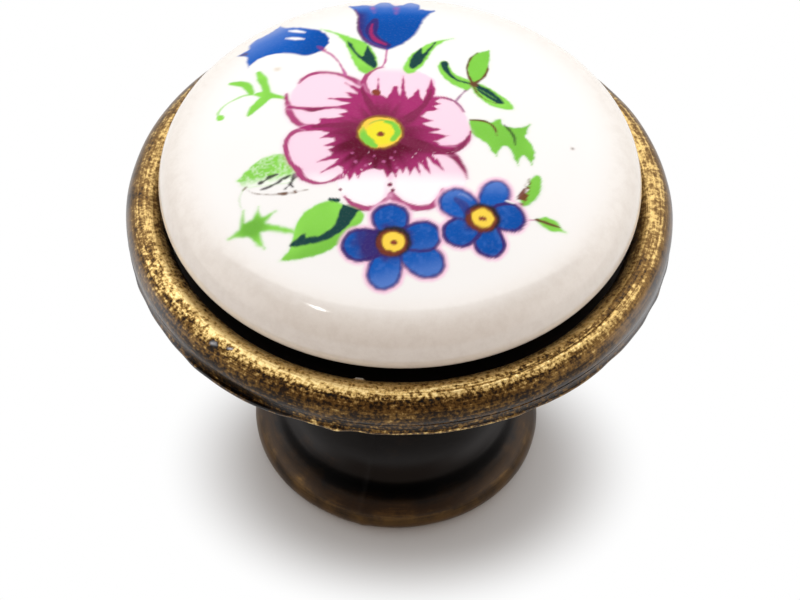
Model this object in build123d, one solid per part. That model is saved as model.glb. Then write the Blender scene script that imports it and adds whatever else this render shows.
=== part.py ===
from build123d import *

import os
from math import acos, atan2, degrees, hypot, radians, sqrt, tan

# Cabinet knob: a glazed porcelain cap glued into the dish of a cast metal base.
# Sizes are in millimetres. The origin is the middle of the foot's mounting face, and +Z runs
# up the knob's axis to the crown of the cap. Every profile is drawn as (radius, height).

# Rim of the base: a round bead with a thin lip below it
RIM_DIAMETER = 35.0
BEAD_SECTION_DIAMETER = 2.7
BEAD_HEIGHT = 22.8  # middle of the bead above the mounting face
LIP_THICKNESS = 0.5
LIP_DROP = 0.9  # upper face of the lip below the middle of the bead
LIP_OVERHANG = 1.25  # flat underside of the lip, out past the wall of the bowl

# Underside of the rim: a rounded bowl that runs into a trumpet flare
BOWL_WIDTH = 3.7
BOWL_DEPTH = 3.3

# Neck, cove and foot
NECK_DIAMETER = 13.0
NECK_LENGTH = 1.5  # straight stretch between the cove and the flare
COVE_WIDTH = 1.9
COVE_HEIGHT = 4.0
FOOT_DIAMETER = 20.5
FOOT_THICKNESS = 2.5
FOOT_UNDER_ROUND = 0.7

# Dish that holds the cap, with a pocket for the adhesive
DISH_DROP = 0.3  # floor of the dish below the middle of the bead
POCKET_DIAMETER = 20.0
POCKET_DEPTH = 1.0

# Tapped hole for an M4 fixing screw, drawn at its tapping-drill size
SCREW_HOLE_DIAMETER = 3.3
SCREW_HOLE_DEPTH = 14.0
SCREW_HOLE_CHAMFER = 0.4
DRILL_POINT_ANGLE = 118.0

# Porcelain cap: a low dome whose rounded edge stands over the dish
CAP_OVERHANG = 0.4  # widest line of the cap, out past the innermost line of the bead
CAP_LIFT = 2.95  # widest line of the cap above the floor of the dish
CAP_CROWN_RISE = 4.1  # top of the crown above the widest line
CAP_SHOULDER_RADIUS = 2.6
CAP_UNDER_RADIUS = 1.2
CAP_UNDERCUT = 2.25  # edge of the seat, in from the widest line

rim_radius = RIM_DIAMETER / 2
bead_radius = BEAD_SECTION_DIAMETER / 2
bead_middle_radius = rim_radius - bead_radius
foot_radius = FOOT_DIAMETER / 2
neck_radius = NECK_DIAMETER / 2
screw_hole_radius = SCREW_HOLE_DIAMETER / 2

lip_top = BEAD_HEIGHT - LIP_DROP
lip_bottom = lip_top - LIP_THICKNESS
dish_floor = BEAD_HEIGHT - DISH_DROP


def turned(outline):
    """Solid of revolution about the knob's axis, from the edges of a closed (radius, height) outline."""
    return revolve(Plane.XZ * make_face(outline), Axis.Z)


def quarter(centre, width, height, start):
    """Quarter of an ellipse about its centre, from a start angle in degrees."""
    return EllipticalCenterArc(centre, width, height, start, arc_size=90)


def bead_reach(drop):
    """Half the width of the bead's section at a given drop below its middle."""
    return sqrt(bead_radius**2 - drop**2)


def foot_and_neck():
    """Outline from the axis along the mounting face, round the foot, up the cove and along the neck."""
    cove_radius = neck_radius + COVE_WIDTH
    neck_bottom = FOOT_THICKNESS + COVE_HEIGHT
    face_radius = foot_radius - FOOT_UNDER_ROUND
    return [
        Line((0, 0), (face_radius, 0)),
        CenterArc((face_radius, FOOT_UNDER_ROUND), FOOT_UNDER_ROUND, -90, 90),
        quarter(
            (cove_radius, FOOT_UNDER_ROUND), foot_radius - cove_radius, FOOT_THICKNESS - FOOT_UNDER_ROUND, 0
        ),
        quarter((cove_radius, neck_bottom), COVE_WIDTH, COVE_HEIGHT, 180),
        Line((neck_radius, neck_bottom), (neck_radius, neck_bottom + NECK_LENGTH)),
    ]


def flare_and_rim():
    """Outline from the neck up the flare and the bowl, round the lip and over the bead to the dish."""
    neck_top = FOOT_THICKNESS + COVE_HEIGHT + NECK_LENGTH
    bowl_radius = rim_radius - BOWL_WIDTH
    bowl_bottom = lip_bottom - BOWL_DEPTH
    lip_round = LIP_THICKNESS / 2
    lip_round_radius = rim_radius - lip_round
    bowl_edge = lip_round_radius - LIP_OVERHANG
    bead_start = degrees(atan2(-LIP_DROP, bead_reach(LIP_DROP)))
    bead_end = 360 - degrees(atan2(DISH_DROP, -bead_reach(DISH_DROP)))
    return [
        quarter((bowl_radius, neck_top), bowl_radius - neck_radius, bowl_bottom - neck_top, 90),
        quarter((bowl_radius, lip_bottom), bowl_edge - bowl_radius, BOWL_DEPTH, 270),
        Line((bowl_edge, lip_bottom), (lip_round_radius, lip_bottom)),
        CenterArc((lip_round_radius, lip_bottom + lip_round), lip_round, -90, 180),
        Line((lip_round_radius, lip_top), (bead_middle_radius + bead_reach(LIP_DROP), lip_top)),
        CenterArc((bead_middle_radius, BEAD_HEIGHT), bead_radius, bead_start, bead_end - bead_start),
    ]


def dish():
    """Outline from the bead's inner foot across the dish floor and the pocket, back to the axis."""
    pocket_radius = POCKET_DIAMETER / 2
    pocket_floor = dish_floor - POCKET_DEPTH
    return Polyline(
        (bead_middle_radius - bead_reach(DISH_DROP), dish_floor),
        (pocket_radius, dish_floor),
        (pocket_radius, pocket_floor),
        (0, pocket_floor),
        (0, 0),
    ).edges()


def screw_hole():
    """Drilled hole with a chamfered mouth in the mounting face and a conical end."""
    mouth_radius = screw_hole_radius + SCREW_HOLE_CHAMFER
    point_length = screw_hole_radius / tan(radians(DRILL_POINT_ANGLE / 2))
    outline = Polyline(
        (0, 0),
        (mouth_radius, 0),
        (screw_hole_radius, SCREW_HOLE_CHAMFER),
        (screw_hole_radius, SCREW_HOLE_DEPTH),
        (0, SCREW_HOLE_DEPTH + point_length),
        close=True,
    )
    return turned(outline.edges())


def cast_base():
    """Foot, neck, flare, rim and dish in one casting, with the tapped hole drilled up its axis."""
    return turned([*foot_and_neck(), *flare_and_rim(), *dish()]) - screw_hole()


def porcelain_cap():
    """Domed cap: a flat seat, a sloping underside, a rounded edge and a gently crowned top."""
    cap_radius = bead_middle_radius - bead_radius + CAP_OVERHANG
    seat_radius = cap_radius - CAP_UNDERCUT
    widest = dish_floor + CAP_LIFT
    top = widest + CAP_CROWN_RISE

    # The underside runs from the edge of the seat to the point where it meets the lower rounding.
    under_middle = cap_radius - CAP_UNDER_RADIUS
    reach = hypot(under_middle - seat_radius, CAP_LIFT)
    seat_direction = degrees(atan2(-CAP_LIFT, seat_radius - under_middle))
    under_start = seat_direction + degrees(acos(CAP_UNDER_RADIUS / reach))

    # The crown is the arc through the top that is tangent to the shoulder.
    shoulder_middle = cap_radius - CAP_SHOULDER_RADIUS
    crown_radius = (shoulder_middle**2 + CAP_CROWN_RISE**2 - CAP_SHOULDER_RADIUS**2) / (
        2 * (CAP_CROWN_RISE - CAP_SHOULDER_RADIUS)
    )
    crown_start = degrees(atan2(crown_radius - CAP_CROWN_RISE, shoulder_middle))

    under = CenterArc((under_middle, widest), CAP_UNDER_RADIUS, under_start, -under_start)
    shoulder = CenterArc((shoulder_middle, widest), CAP_SHOULDER_RADIUS, 0, crown_start)
    crown = CenterArc((0, top - crown_radius), crown_radius, crown_start, 90 - crown_start)
    seat = Polyline((0, top), (0, dish_floor), (seat_radius, dish_floor), under @ 0)
    return turned([*seat.edges(), under, shoulder, crown])


os.makedirs("parts", exist_ok=True)
export_step(cast_base(), "parts/cast_base.step")
export_step(porcelain_cap(), "parts/porcelain_cap.step")
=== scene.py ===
"""Dresses a cabinet knob: a printed porcelain cap in the beaded rim of a cast antique-brass base.

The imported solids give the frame. Each of the two pieces is worked out again as a fine surface with
the marks of its making, and takes a procedural finish. The printed flower spray is drawn as smooth
fields of colour on the cap's own points. Lengths are in millimetres until they go into a mesh, which
is in metres.
"""

import logging
import math
from collections.abc import Mapping, Sequence
from dataclasses import dataclass, field
from enum import Enum, IntEnum, auto

import bpy
import numpy as np
from mathutils import Euler, Matrix, Vector


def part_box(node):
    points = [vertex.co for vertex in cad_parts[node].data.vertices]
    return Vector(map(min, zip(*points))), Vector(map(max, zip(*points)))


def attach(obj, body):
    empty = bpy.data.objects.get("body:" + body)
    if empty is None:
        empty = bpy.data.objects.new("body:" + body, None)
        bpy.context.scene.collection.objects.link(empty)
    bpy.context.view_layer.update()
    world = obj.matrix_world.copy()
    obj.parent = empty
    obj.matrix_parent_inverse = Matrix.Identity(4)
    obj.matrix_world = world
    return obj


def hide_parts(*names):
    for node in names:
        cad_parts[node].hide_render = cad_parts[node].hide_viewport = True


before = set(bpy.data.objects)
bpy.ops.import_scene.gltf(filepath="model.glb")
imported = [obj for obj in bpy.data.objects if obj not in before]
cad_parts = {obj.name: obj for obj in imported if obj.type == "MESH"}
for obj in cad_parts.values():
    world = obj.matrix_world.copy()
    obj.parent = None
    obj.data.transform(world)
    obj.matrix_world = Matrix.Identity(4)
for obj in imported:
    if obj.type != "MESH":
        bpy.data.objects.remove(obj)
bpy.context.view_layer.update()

LOG = logging.getLogger("knob")
MM = 0.001
BODY = "root"
TURN = 2.0 * math.pi
LUMP_ROWS = 64

Colour = tuple[float, float, float, float]
Points = "Sequence[Sequence[float]] | np.ndarray"
Number = "float | Value"
Fed = "float | Sequence[float] | Value | bpy.types.NodeSocket"


def srgb(red: int, green: int, blue: int) -> Colour:
    """Turns an 8-bit display colour into the linear colour that a shader takes.

    Args:
        red: red level, 0 to 255.
        green: green level, 0 to 255.
        blue: blue level, 0 to 255.

    Returns:
        The linear colour with full alpha.
    """
    levels = np.array([red, green, blue]) / 255.0
    linear = np.where(levels <= 0.04045, levels / 12.92, ((levels + 0.055) / 1.055) ** 2.4)
    return (*linear.tolist(), 1.0)


class Value:
    """One number of a shader: a socket whose arithmetic adds Math nodes to its graph."""

    def __init__(self, graph: "Graph", socket: bpy.types.NodeSocket) -> None:
        """Keeps the graph and the socket that the number comes from."""
        self.graph = graph
        self.socket = socket

    def math(self, operation: str, *others: Number) -> "Value":
        """Adds one Math node.

        Args:
            operation: the node's operation.
            others: the numbers after this one.

        Returns:
            The node's result.
        """
        return self.graph.math(operation, self, *others)

    def __add__(self, other: Number) -> "Value":
        """Sum."""
        return self.math("ADD", other)

    __radd__ = __add__

    def __mul__(self, other: Number) -> "Value":
        """Product."""
        return self.math("MULTIPLY", other)

    __rmul__ = __mul__

    def __sub__(self, other: Number) -> "Value":
        """Difference."""
        return self.math("SUBTRACT", other)

    def __rsub__(self, other: Number) -> "Value":
        """Difference, taken from a plain number."""
        return self.graph.math("SUBTRACT", other, self)

    def __truediv__(self, other: Number) -> "Value":
        """Quotient."""
        return self.math("DIVIDE", other)

    def __rtruediv__(self, other: Number) -> "Value":
        """Quotient of a plain number by this one."""
        return self.graph.math("DIVIDE", other, self)

    def __pow__(self, other: Number) -> "Value":
        """Power."""
        return self.math("POWER", other)

    def __abs__(self) -> "Value":
        """Size without sign."""
        return self.math("ABSOLUTE")

    def most(self, other: Number) -> "Value":
        """The larger of two numbers."""
        return self.math("MAXIMUM", other)

    def step(self, low: Number, high: Number) -> "Value":
        """Adds a smooth step.

        Args:
            low: where it is 0.
            high: where it is 1, which may be the smaller of the two.

        Returns:
            The step.
        """
        sockets = {"Value": self, "From Min": low, "From Max": high}
        node = self.graph.node("ShaderNodeMapRange", {"interpolation_type": "SMOOTHSTEP"}, sockets)
        return Value(self.graph, node.outputs["Result"])


class Graph:
    """The nodes of one material or world, added in the order in which they are used."""

    def __init__(self, tree: bpy.types.NodeTree) -> None:
        """Empties the tree."""
        self.tree = tree
        tree.nodes.clear()

    def node(
        self,
        kind: str,
        settings: Mapping[str, object] | None = None,
        sockets: Mapping[str | int, Fed] | None = None,
    ) -> bpy.types.Node:
        """Adds a node.

        Args:
            kind: the node's type.
            settings: its settings, set first.
            sockets: the values or links of its inputs, by name or number.

        Returns:
            The node.
        """
        made = self.tree.nodes.new(kind)
        for name, setting in (settings or {}).items():
            setattr(made, name, setting)
        for key, fed in (sockets or {}).items():
            source = fed.socket if isinstance(fed, Value) else fed
            if isinstance(source, bpy.types.NodeSocket):
                self.tree.links.new(source, made.inputs[key])
            else:
                made.inputs[key].default_value = source
        return made

    def math(self, operation: str, *numbers: Number) -> Value:
        """A Math node on up to three numbers."""
        node = self.node("ShaderNodeMath", {"operation": operation}, dict(enumerate(numbers)))
        return Value(self, node.outputs[0])

    def mix(self, share: Number, below: Fed, above: Fed) -> bpy.types.NodeSocket:
        """A colour that goes from below to above as share goes from 0 to 1."""
        node = self.node("ShaderNodeMix", {"data_type": "RGBA"}, {0: share, 6: below, 7: above})
        return node.outputs[2]

    def place(self) -> bpy.types.NodeSocket:
        """The surface point in the object's own frame, in millimetres."""
        sockets = {0: self.node("ShaderNodeTexCoord").outputs["Object"], "Scale": 1.0 / MM}
        return self.node("ShaderNodeVectorMath", {"operation": "SCALE"}, sockets).outputs[0]

    def split(self, vector: bpy.types.NodeSocket) -> tuple[Value, Value, Value]:
        """The three numbers of a vector."""
        outputs = self.node("ShaderNodeSeparateXYZ", None, {0: vector}).outputs
        return Value(self, outputs[0]), Value(self, outputs[1]), Value(self, outputs[2])

    def join(self, x: Number, y: Number, z: Number) -> bpy.types.NodeSocket:
        """A vector of three numbers."""
        return self.node("ShaderNodeCombineXYZ", None, {0: x, 1: y, 2: z}).outputs[0]

    def noise(
        self, vector: bpy.types.NodeSocket, scale: float, detail: float = 2.0, rough: float = 0.5
    ) -> Value:
        """Noise about 0.5 with about scale features to a unit of the vector."""
        sockets = {"Vector": vector, "Scale": scale, "Detail": detail, "Roughness": rough}
        return Value(self, self.node("ShaderNodeTexNoise", None, sockets).outputs[0])

    def attribute(self, name: str) -> Value:
        """A number that the mesh holds at each vertex."""
        node = self.node("ShaderNodeAttribute", {"attribute_name": name})
        return Value(self, node.outputs["Fac"])

    def bump(self, height: Value, depth: float, strength: float) -> bpy.types.NodeSocket:
        """A normal bent by a height from 0 to 1 that is worth depth millimetres."""
        sockets = {"Height": height, "Distance": depth * MM, "Strength": strength}
        return self.node("ShaderNodeBump", None, sockets).outputs[0]

    def surface(self, settings: Mapping[str, Fed]) -> None:
        """Ends the graph in one Principled shader."""
        shader = self.node("ShaderNodeBsdfPrincipled", None, settings)
        self.node("ShaderNodeOutputMaterial", None, {"Surface": shader.outputs[0]})


def new_graph(name: str) -> tuple[bpy.types.Material, Graph]:
    """Makes a material with an empty graph.

    Args:
        name: the material's name.

    Returns:
        The material and its graph.
    """
    material = bpy.data.materials.new(name)
    material.use_nodes = True
    return material, Graph(material.node_tree)


def ease(low: float, high: float, value: np.ndarray) -> np.ndarray:
    """Smooth step from 0 at low to 1 at high, which may be the smaller of the two."""
    share = np.clip((value - low) / (high - low), 0.0, 1.0)
    return share**2 * (3.0 - 2.0 * share)


def between(value: np.ndarray, start: float, full: float, fall: float, end: float) -> np.ndarray:
    """Smooth plateau: rises from 0 at start to 1 at full, and falls from 1 at fall to 0 at end."""
    return ease(start, full, value) * ease(end, fall, value)


def bell(distance: np.ndarray, width: float) -> np.ndarray:
    """Bell curve: the exponential of minus the square of the distance over the width."""
    return np.exp(-((distance / width) ** 2))


def lumps(across: np.ndarray, along: np.ndarray, seed: int, period: int = 64) -> np.ndarray:
    """Smooth random field from -1 to 1: random levels at whole numbers, eased into each other.

    Args:
        across: first coordinate, in which the field repeats after a whole number of units.
        along: second coordinate, of the same shape.
        seed: choice of the random levels.
        period: units after which the field repeats across.

    Returns:
        The field's levels.
    """
    table = np.random.default_rng(seed).uniform(-1.0, 1.0, (period, LUMP_ROWS))
    i, j = np.floor(across).astype(int), np.floor(along).astype(int)
    u, v = ease(0.0, 1.0, across - i), ease(0.0, 1.0, along - j)
    i_next, j, j_next = (i + 1) % period, j % LUMP_ROWS, (j + 1) % LUMP_ROWS
    near = table[i % period, j] * (1.0 - v) + table[i % period, j_next] * v
    far = table[i_next, j] * (1.0 - v) + table[i_next, j_next] * v
    return near * (1.0 - u) + far * u


def line(start: Sequence[float], end: Sequence[float], count: int) -> np.ndarray:
    """Points from start up to, but not including, end, in equal steps."""
    share = np.linspace(0.0, 1.0, count, endpoint=False)[:, None]
    return np.asarray(start) * (1.0 - share) + np.asarray(end) * share


def arc(
    centre: Sequence[float], size: Sequence[float], start: float, sweep: float, count: int
) -> np.ndarray:
    """Points of an ellipse's arc without its last: centre plus size times the cosine and sine of the angle.

    Args:
        centre: radius and height of the ellipse's middle.
        size: its half width and half height.
        start: first angle, in degrees.
        sweep: angle that the arc covers, in degrees, negative when it runs clockwise.
        count: number of points.

    Returns:
        An array of count rows of radius and height.
    """
    angle = np.radians(start + sweep * np.linspace(0.0, 1.0, count, endpoint=False))
    return np.asarray(centre) + np.asarray(size) * np.stack([np.cos(angle), np.sin(angle)], axis=1)


def revolved(radius: np.ndarray, height: np.ndarray, angle: np.ndarray) -> np.ndarray:
    """Points at radii and heights, turned to angles: radius times cosine and sine, and the height."""
    return np.stack(np.broadcast_arrays(radius * np.cos(angle), radius * np.sin(angle), height), axis=-1)


class Shell:
    """Vertices and faces of one closed mesh, gathered as rings of points about the knob's axis."""

    def __init__(self) -> None:
        """Starts with nothing."""
        self.parts: list[np.ndarray] = []
        self.faces: list[list[int]] = []
        self.count = 0

    def add(self, points: np.ndarray) -> np.ndarray:
        """Adds points.

        Args:
            points: the points in millimetres, in any layout.

        Returns:
            Their numbers in the same layout.
        """
        flat = points.reshape(-1, 3)
        numbers = np.arange(self.count, self.count + len(flat)).reshape(points.shape[:-1])
        self.parts.append(flat)
        self.count += len(flat)
        return numbers

    def sheet(self, grid: np.ndarray) -> None:
        """Joins the points of a grid by four-sided faces."""
        quads = np.stack([grid[:-1, :-1], grid[:-1, 1:], grid[1:, 1:], grid[1:, :-1]], axis=-1)
        self.faces += quads.reshape(-1, 4).tolist()

    def band(self, rows: np.ndarray) -> None:
        """Joins neighbouring rings, which follow the outline so that the outside lies on their right."""
        self.sheet(np.concatenate([rows, rows[:, :1]], axis=1))

    def cap(self, ring: np.ndarray, height: float, first: bool) -> None:
        """Closes the first or the last ring with a fan about a new point on the axis.

        Args:
            ring: numbers of the ring's points.
            height: the new point's height.
            first: whether the ring is the first of its outline.
        """
        pole = self.add(np.array([[0.0, 0.0, height]]))[0]
        after = np.roll(ring, -1)
        sides = (after, ring) if first else (ring, after)
        self.faces += np.stack([*sides, np.full_like(ring, pole)], axis=-1).tolist()

    def step(self, coarse: np.ndarray, fine: np.ndarray) -> None:
        """Joins a coarse ring to a finer one round it in the same plane, by one face for each coarse edge.

        Args:
            coarse: numbers of the inner ring's points.
            fine: numbers of the outer ring's points, a whole number of times as many.
        """
        share = len(fine) // len(coarse)
        start = share * np.arange(len(coarse))[:, None]
        outer = fine[(start + np.arange(share, -1, -1)) % len(fine)]
        inner = np.stack([coarse, np.roll(coarse, -1)], axis=1)
        self.faces += np.concatenate([inner, outer], axis=1).tolist()

    def mesh(self, name: str, crease: float) -> bpy.types.Mesh:
        """Makes the mesh.

        Args:
            name: the mesh's name.
            crease: angle between faces, in degrees, above which their edge is sharp.

        Returns:
            The mesh, in metres, with smooth faces that point outwards.
        """
        mesh = bpy.data.meshes.new(name)
        mesh.from_pydata((np.concatenate(self.parts) * MM).tolist(), [], self.faces)
        mesh.shade_smooth()
        mesh.set_sharp_from_angle(angle=math.radians(crease))
        return mesh


def mark(mesh: bpy.types.Mesh, name: str, levels: np.ndarray) -> None:
    """Gives a mesh a number at each vertex."""
    layer = mesh.attributes.new(name, "FLOAT", "POINT")
    layer.data.foreach_set("value", levels.astype(np.float32))


def add_piece(
    name: str, mesh: bpy.types.Mesh, node: str, material: bpy.types.Material
) -> bpy.types.Object:
    """Puts a finished mesh in the scene in place of a solid.

    Args:
        name: the piece's name.
        mesh: its mesh, already in place.
        node: the solid that it stands for.
        material: its finish.

    Returns:
        The object, at the origin.
    """
    piece = bpy.data.objects.new(name, mesh)
    bpy.context.scene.collection.objects.link(piece)
    mesh.materials.append(material)
    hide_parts(node)
    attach(piece, BODY)
    return piece


@dataclass(frozen=True)
class AntiqueBrass:
    """Brown-black patina over brass, rubbed back to gold where hands and the polishing wheel reach."""

    # Painted highlight: the most rubbed spots take this near-white gold.
    glint: Colour = srgb(252, 226, 160)
    gold: Colour = srgb(216, 182, 114)
    brown: Colour = srgb(112, 82, 40)
    smoke: Colour = srgb(48, 34, 21)
    patina: Colour = srgb(25, 22, 21)
    # zinc: the bare metal in chips, also painted faintly at both sides of the rim as a sheen.
    zinc: Colour = srgb(206, 208, 214)
    streak_round: float = 6.0
    streak_across: float = 7.0
    grain_scale: float = 4.2
    spot_scale: float = 2.0
    patch_scale: float = 0.5
    relief_depth: float = 0.05
    grain_wear: float = 1.8
    spot_wear: float = 0.5
    patch_wear: float = 0.35
    smoke_wear: tuple[float, float] = (0.02, 0.2)
    brown_wear: tuple[float, float] = (0.18, 0.42)
    gold_wear: tuple[float, float] = (0.4, 0.68)
    glint_wear: tuple[float, float] = (0.66, 0.9)
    roughness: float = 0.34
    lacquer: float = 0.3
    lacquer_roughness: float = 0.3

    def material(self) -> bpy.types.Material:
        """Makes the finish.

        The colour goes from patina over smoke and brown to gold, and on to a painted highlight, by the mesh's
        wear level, which grain, spots, patches and turned streaks break up by the mesh's grit. The wear level
        also holds painted light on the bead's inner slope. Where the mesh is chipped, zinc shows, and pale
        zinc is painted faintly at both sides of the rim as a sheen.

        Returns:
            The material.
        """
        material, graph = new_graph("antique_brass")
        place = graph.place()
        x, y, _ = graph.split(place)
        radius = ((x * x + y * y) ** 0.5).most(0.01)
        along = graph.attribute("along")
        rub_and_light = graph.attribute("rub_and_light")
        grit = graph.attribute("grit")
        chip_and_sheen = graph.attribute("chip_and_sheen")
        turned = [part / radius * self.streak_round for part in (x, y)]
        streaks = graph.noise(graph.join(*turned, along * self.streak_across), 1.0, 3.0, 0.6)
        grain = graph.noise(place, self.grain_scale, 3.0, 0.6)
        spots = graph.noise(place, self.spot_scale, 2.0)
        patches = graph.noise(place, self.patch_scale, 2.0)
        # The wear level carries the painted light of the bead's inner slope and channel wall.
        wear = rub_and_light + (grain - 0.5) * grit * self.grain_wear + (spots - 0.5) * grit * self.spot_wear
        wear = wear + (patches - 0.5) * self.patch_wear
        wear = wear + (streaks - 0.5) * (0.1 + grit * (1.4 - grit * 0.8))
        dull = wear.step(*self.smoke_wear)
        bare = wear.step(*self.brown_wear)
        bright = wear.step(*self.gold_wear)
        under = graph.mix(bare, graph.mix(dull, self.patina, self.smoke), self.brown)
        # The top step of the wear is a painted highlight in the glint colour.
        metal = graph.mix(wear.step(*self.glint_wear), graph.mix(bright, under, self.gold), self.glint)
        graph.surface(
            {
                "Base Color": graph.mix(chip_and_sheen, metal, self.zinc),
                "Metallic": 1.0 - chip_and_sheen * 0.7,
                "Roughness": self.roughness + grit * 0.08 - bright * 0.06,
                "Coat Weight": self.lacquer - grit * 0.24,
                "Coat Roughness": self.lacquer_roughness,
                "Normal": graph.bump((grain + streaks) * grit, self.relief_depth, 0.8),
            }
        )
        return material


class Zone(IntEnum):
    """Stretches of the casting's outline, from the mouth of the screw hole round the outside to the dish."""

    FACE = auto()
    FOOT_UNDER = auto()
    FOOT = auto()
    COVE = auto()
    NECK = auto()
    FLARE = auto()
    BOWL = auto()
    LIP_UNDER = auto()
    LIP = auto()
    LEDGE = auto()
    BEAD = auto()
    DISH = auto()


@dataclass(frozen=True)
class Outline:
    """Half section of a turned form: radius, height, zone and wear of each of its points, the wear with
    painted light on the bead's inner slope.
    """

    radius: np.ndarray
    height: np.ndarray
    zone: np.ndarray
    rub_and_light: np.ndarray

    def along(self) -> np.ndarray:
        """Length along the section from its first point to each point, as a column."""
        steps = np.hypot(np.diff(self.radius), np.diff(self.height))
        return np.concatenate([[0.0], np.cumsum(steps)])[:, None]

    def normals(self) -> tuple[np.ndarray, np.ndarray]:
        """Works out the outward unit normals: the tangent turned a quarter to the right.

        Returns:
            Their radial and upward parts, each as a column.
        """
        across, up = np.gradient(self.radius)[:, None], np.gradient(self.height)[:, None]
        size = np.maximum(np.hypot(across, up), 1e-9)
        return up / size, -across / size

    def within(self, *zones: Zone) -> np.ndarray:
        """1 on the points of the given zones and 0 elsewhere, as a column."""
        return np.isin(self.zone, zones).astype(float)[:, None]


@dataclass(frozen=True)
class Spot:
    """A round mark on the bead: azimuth and section angle in degrees, size and height in millimetres."""

    azimuth: float
    turned: float
    size: float
    height: float = 0.0


@dataclass(frozen=True)
class Streak:
    """A run of more or less wear along the bead, between two azimuths and about one section angle; one run is
    painted light instead.
    """

    strength: float
    start: float
    full: float
    fall: float
    end: float
    turned: float
    width: float

    def level(self, azimuth: np.ndarray, turned: np.ndarray) -> np.ndarray:
        """Wear at azimuths and section angles: a plateau along the bead times a bell curve across it."""
        plateau = between(azimuth, self.start, self.full, self.fall, self.end)
        return self.strength * plateau * bell(turned - self.turned, self.width)


def offset(azimuth: np.ndarray, middle: float) -> np.ndarray:
    """Azimuths from a middle given in degrees, in radians between minus and plus half a turn."""
    return (azimuth - math.radians(middle) + math.pi) % TURN - math.pi


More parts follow.
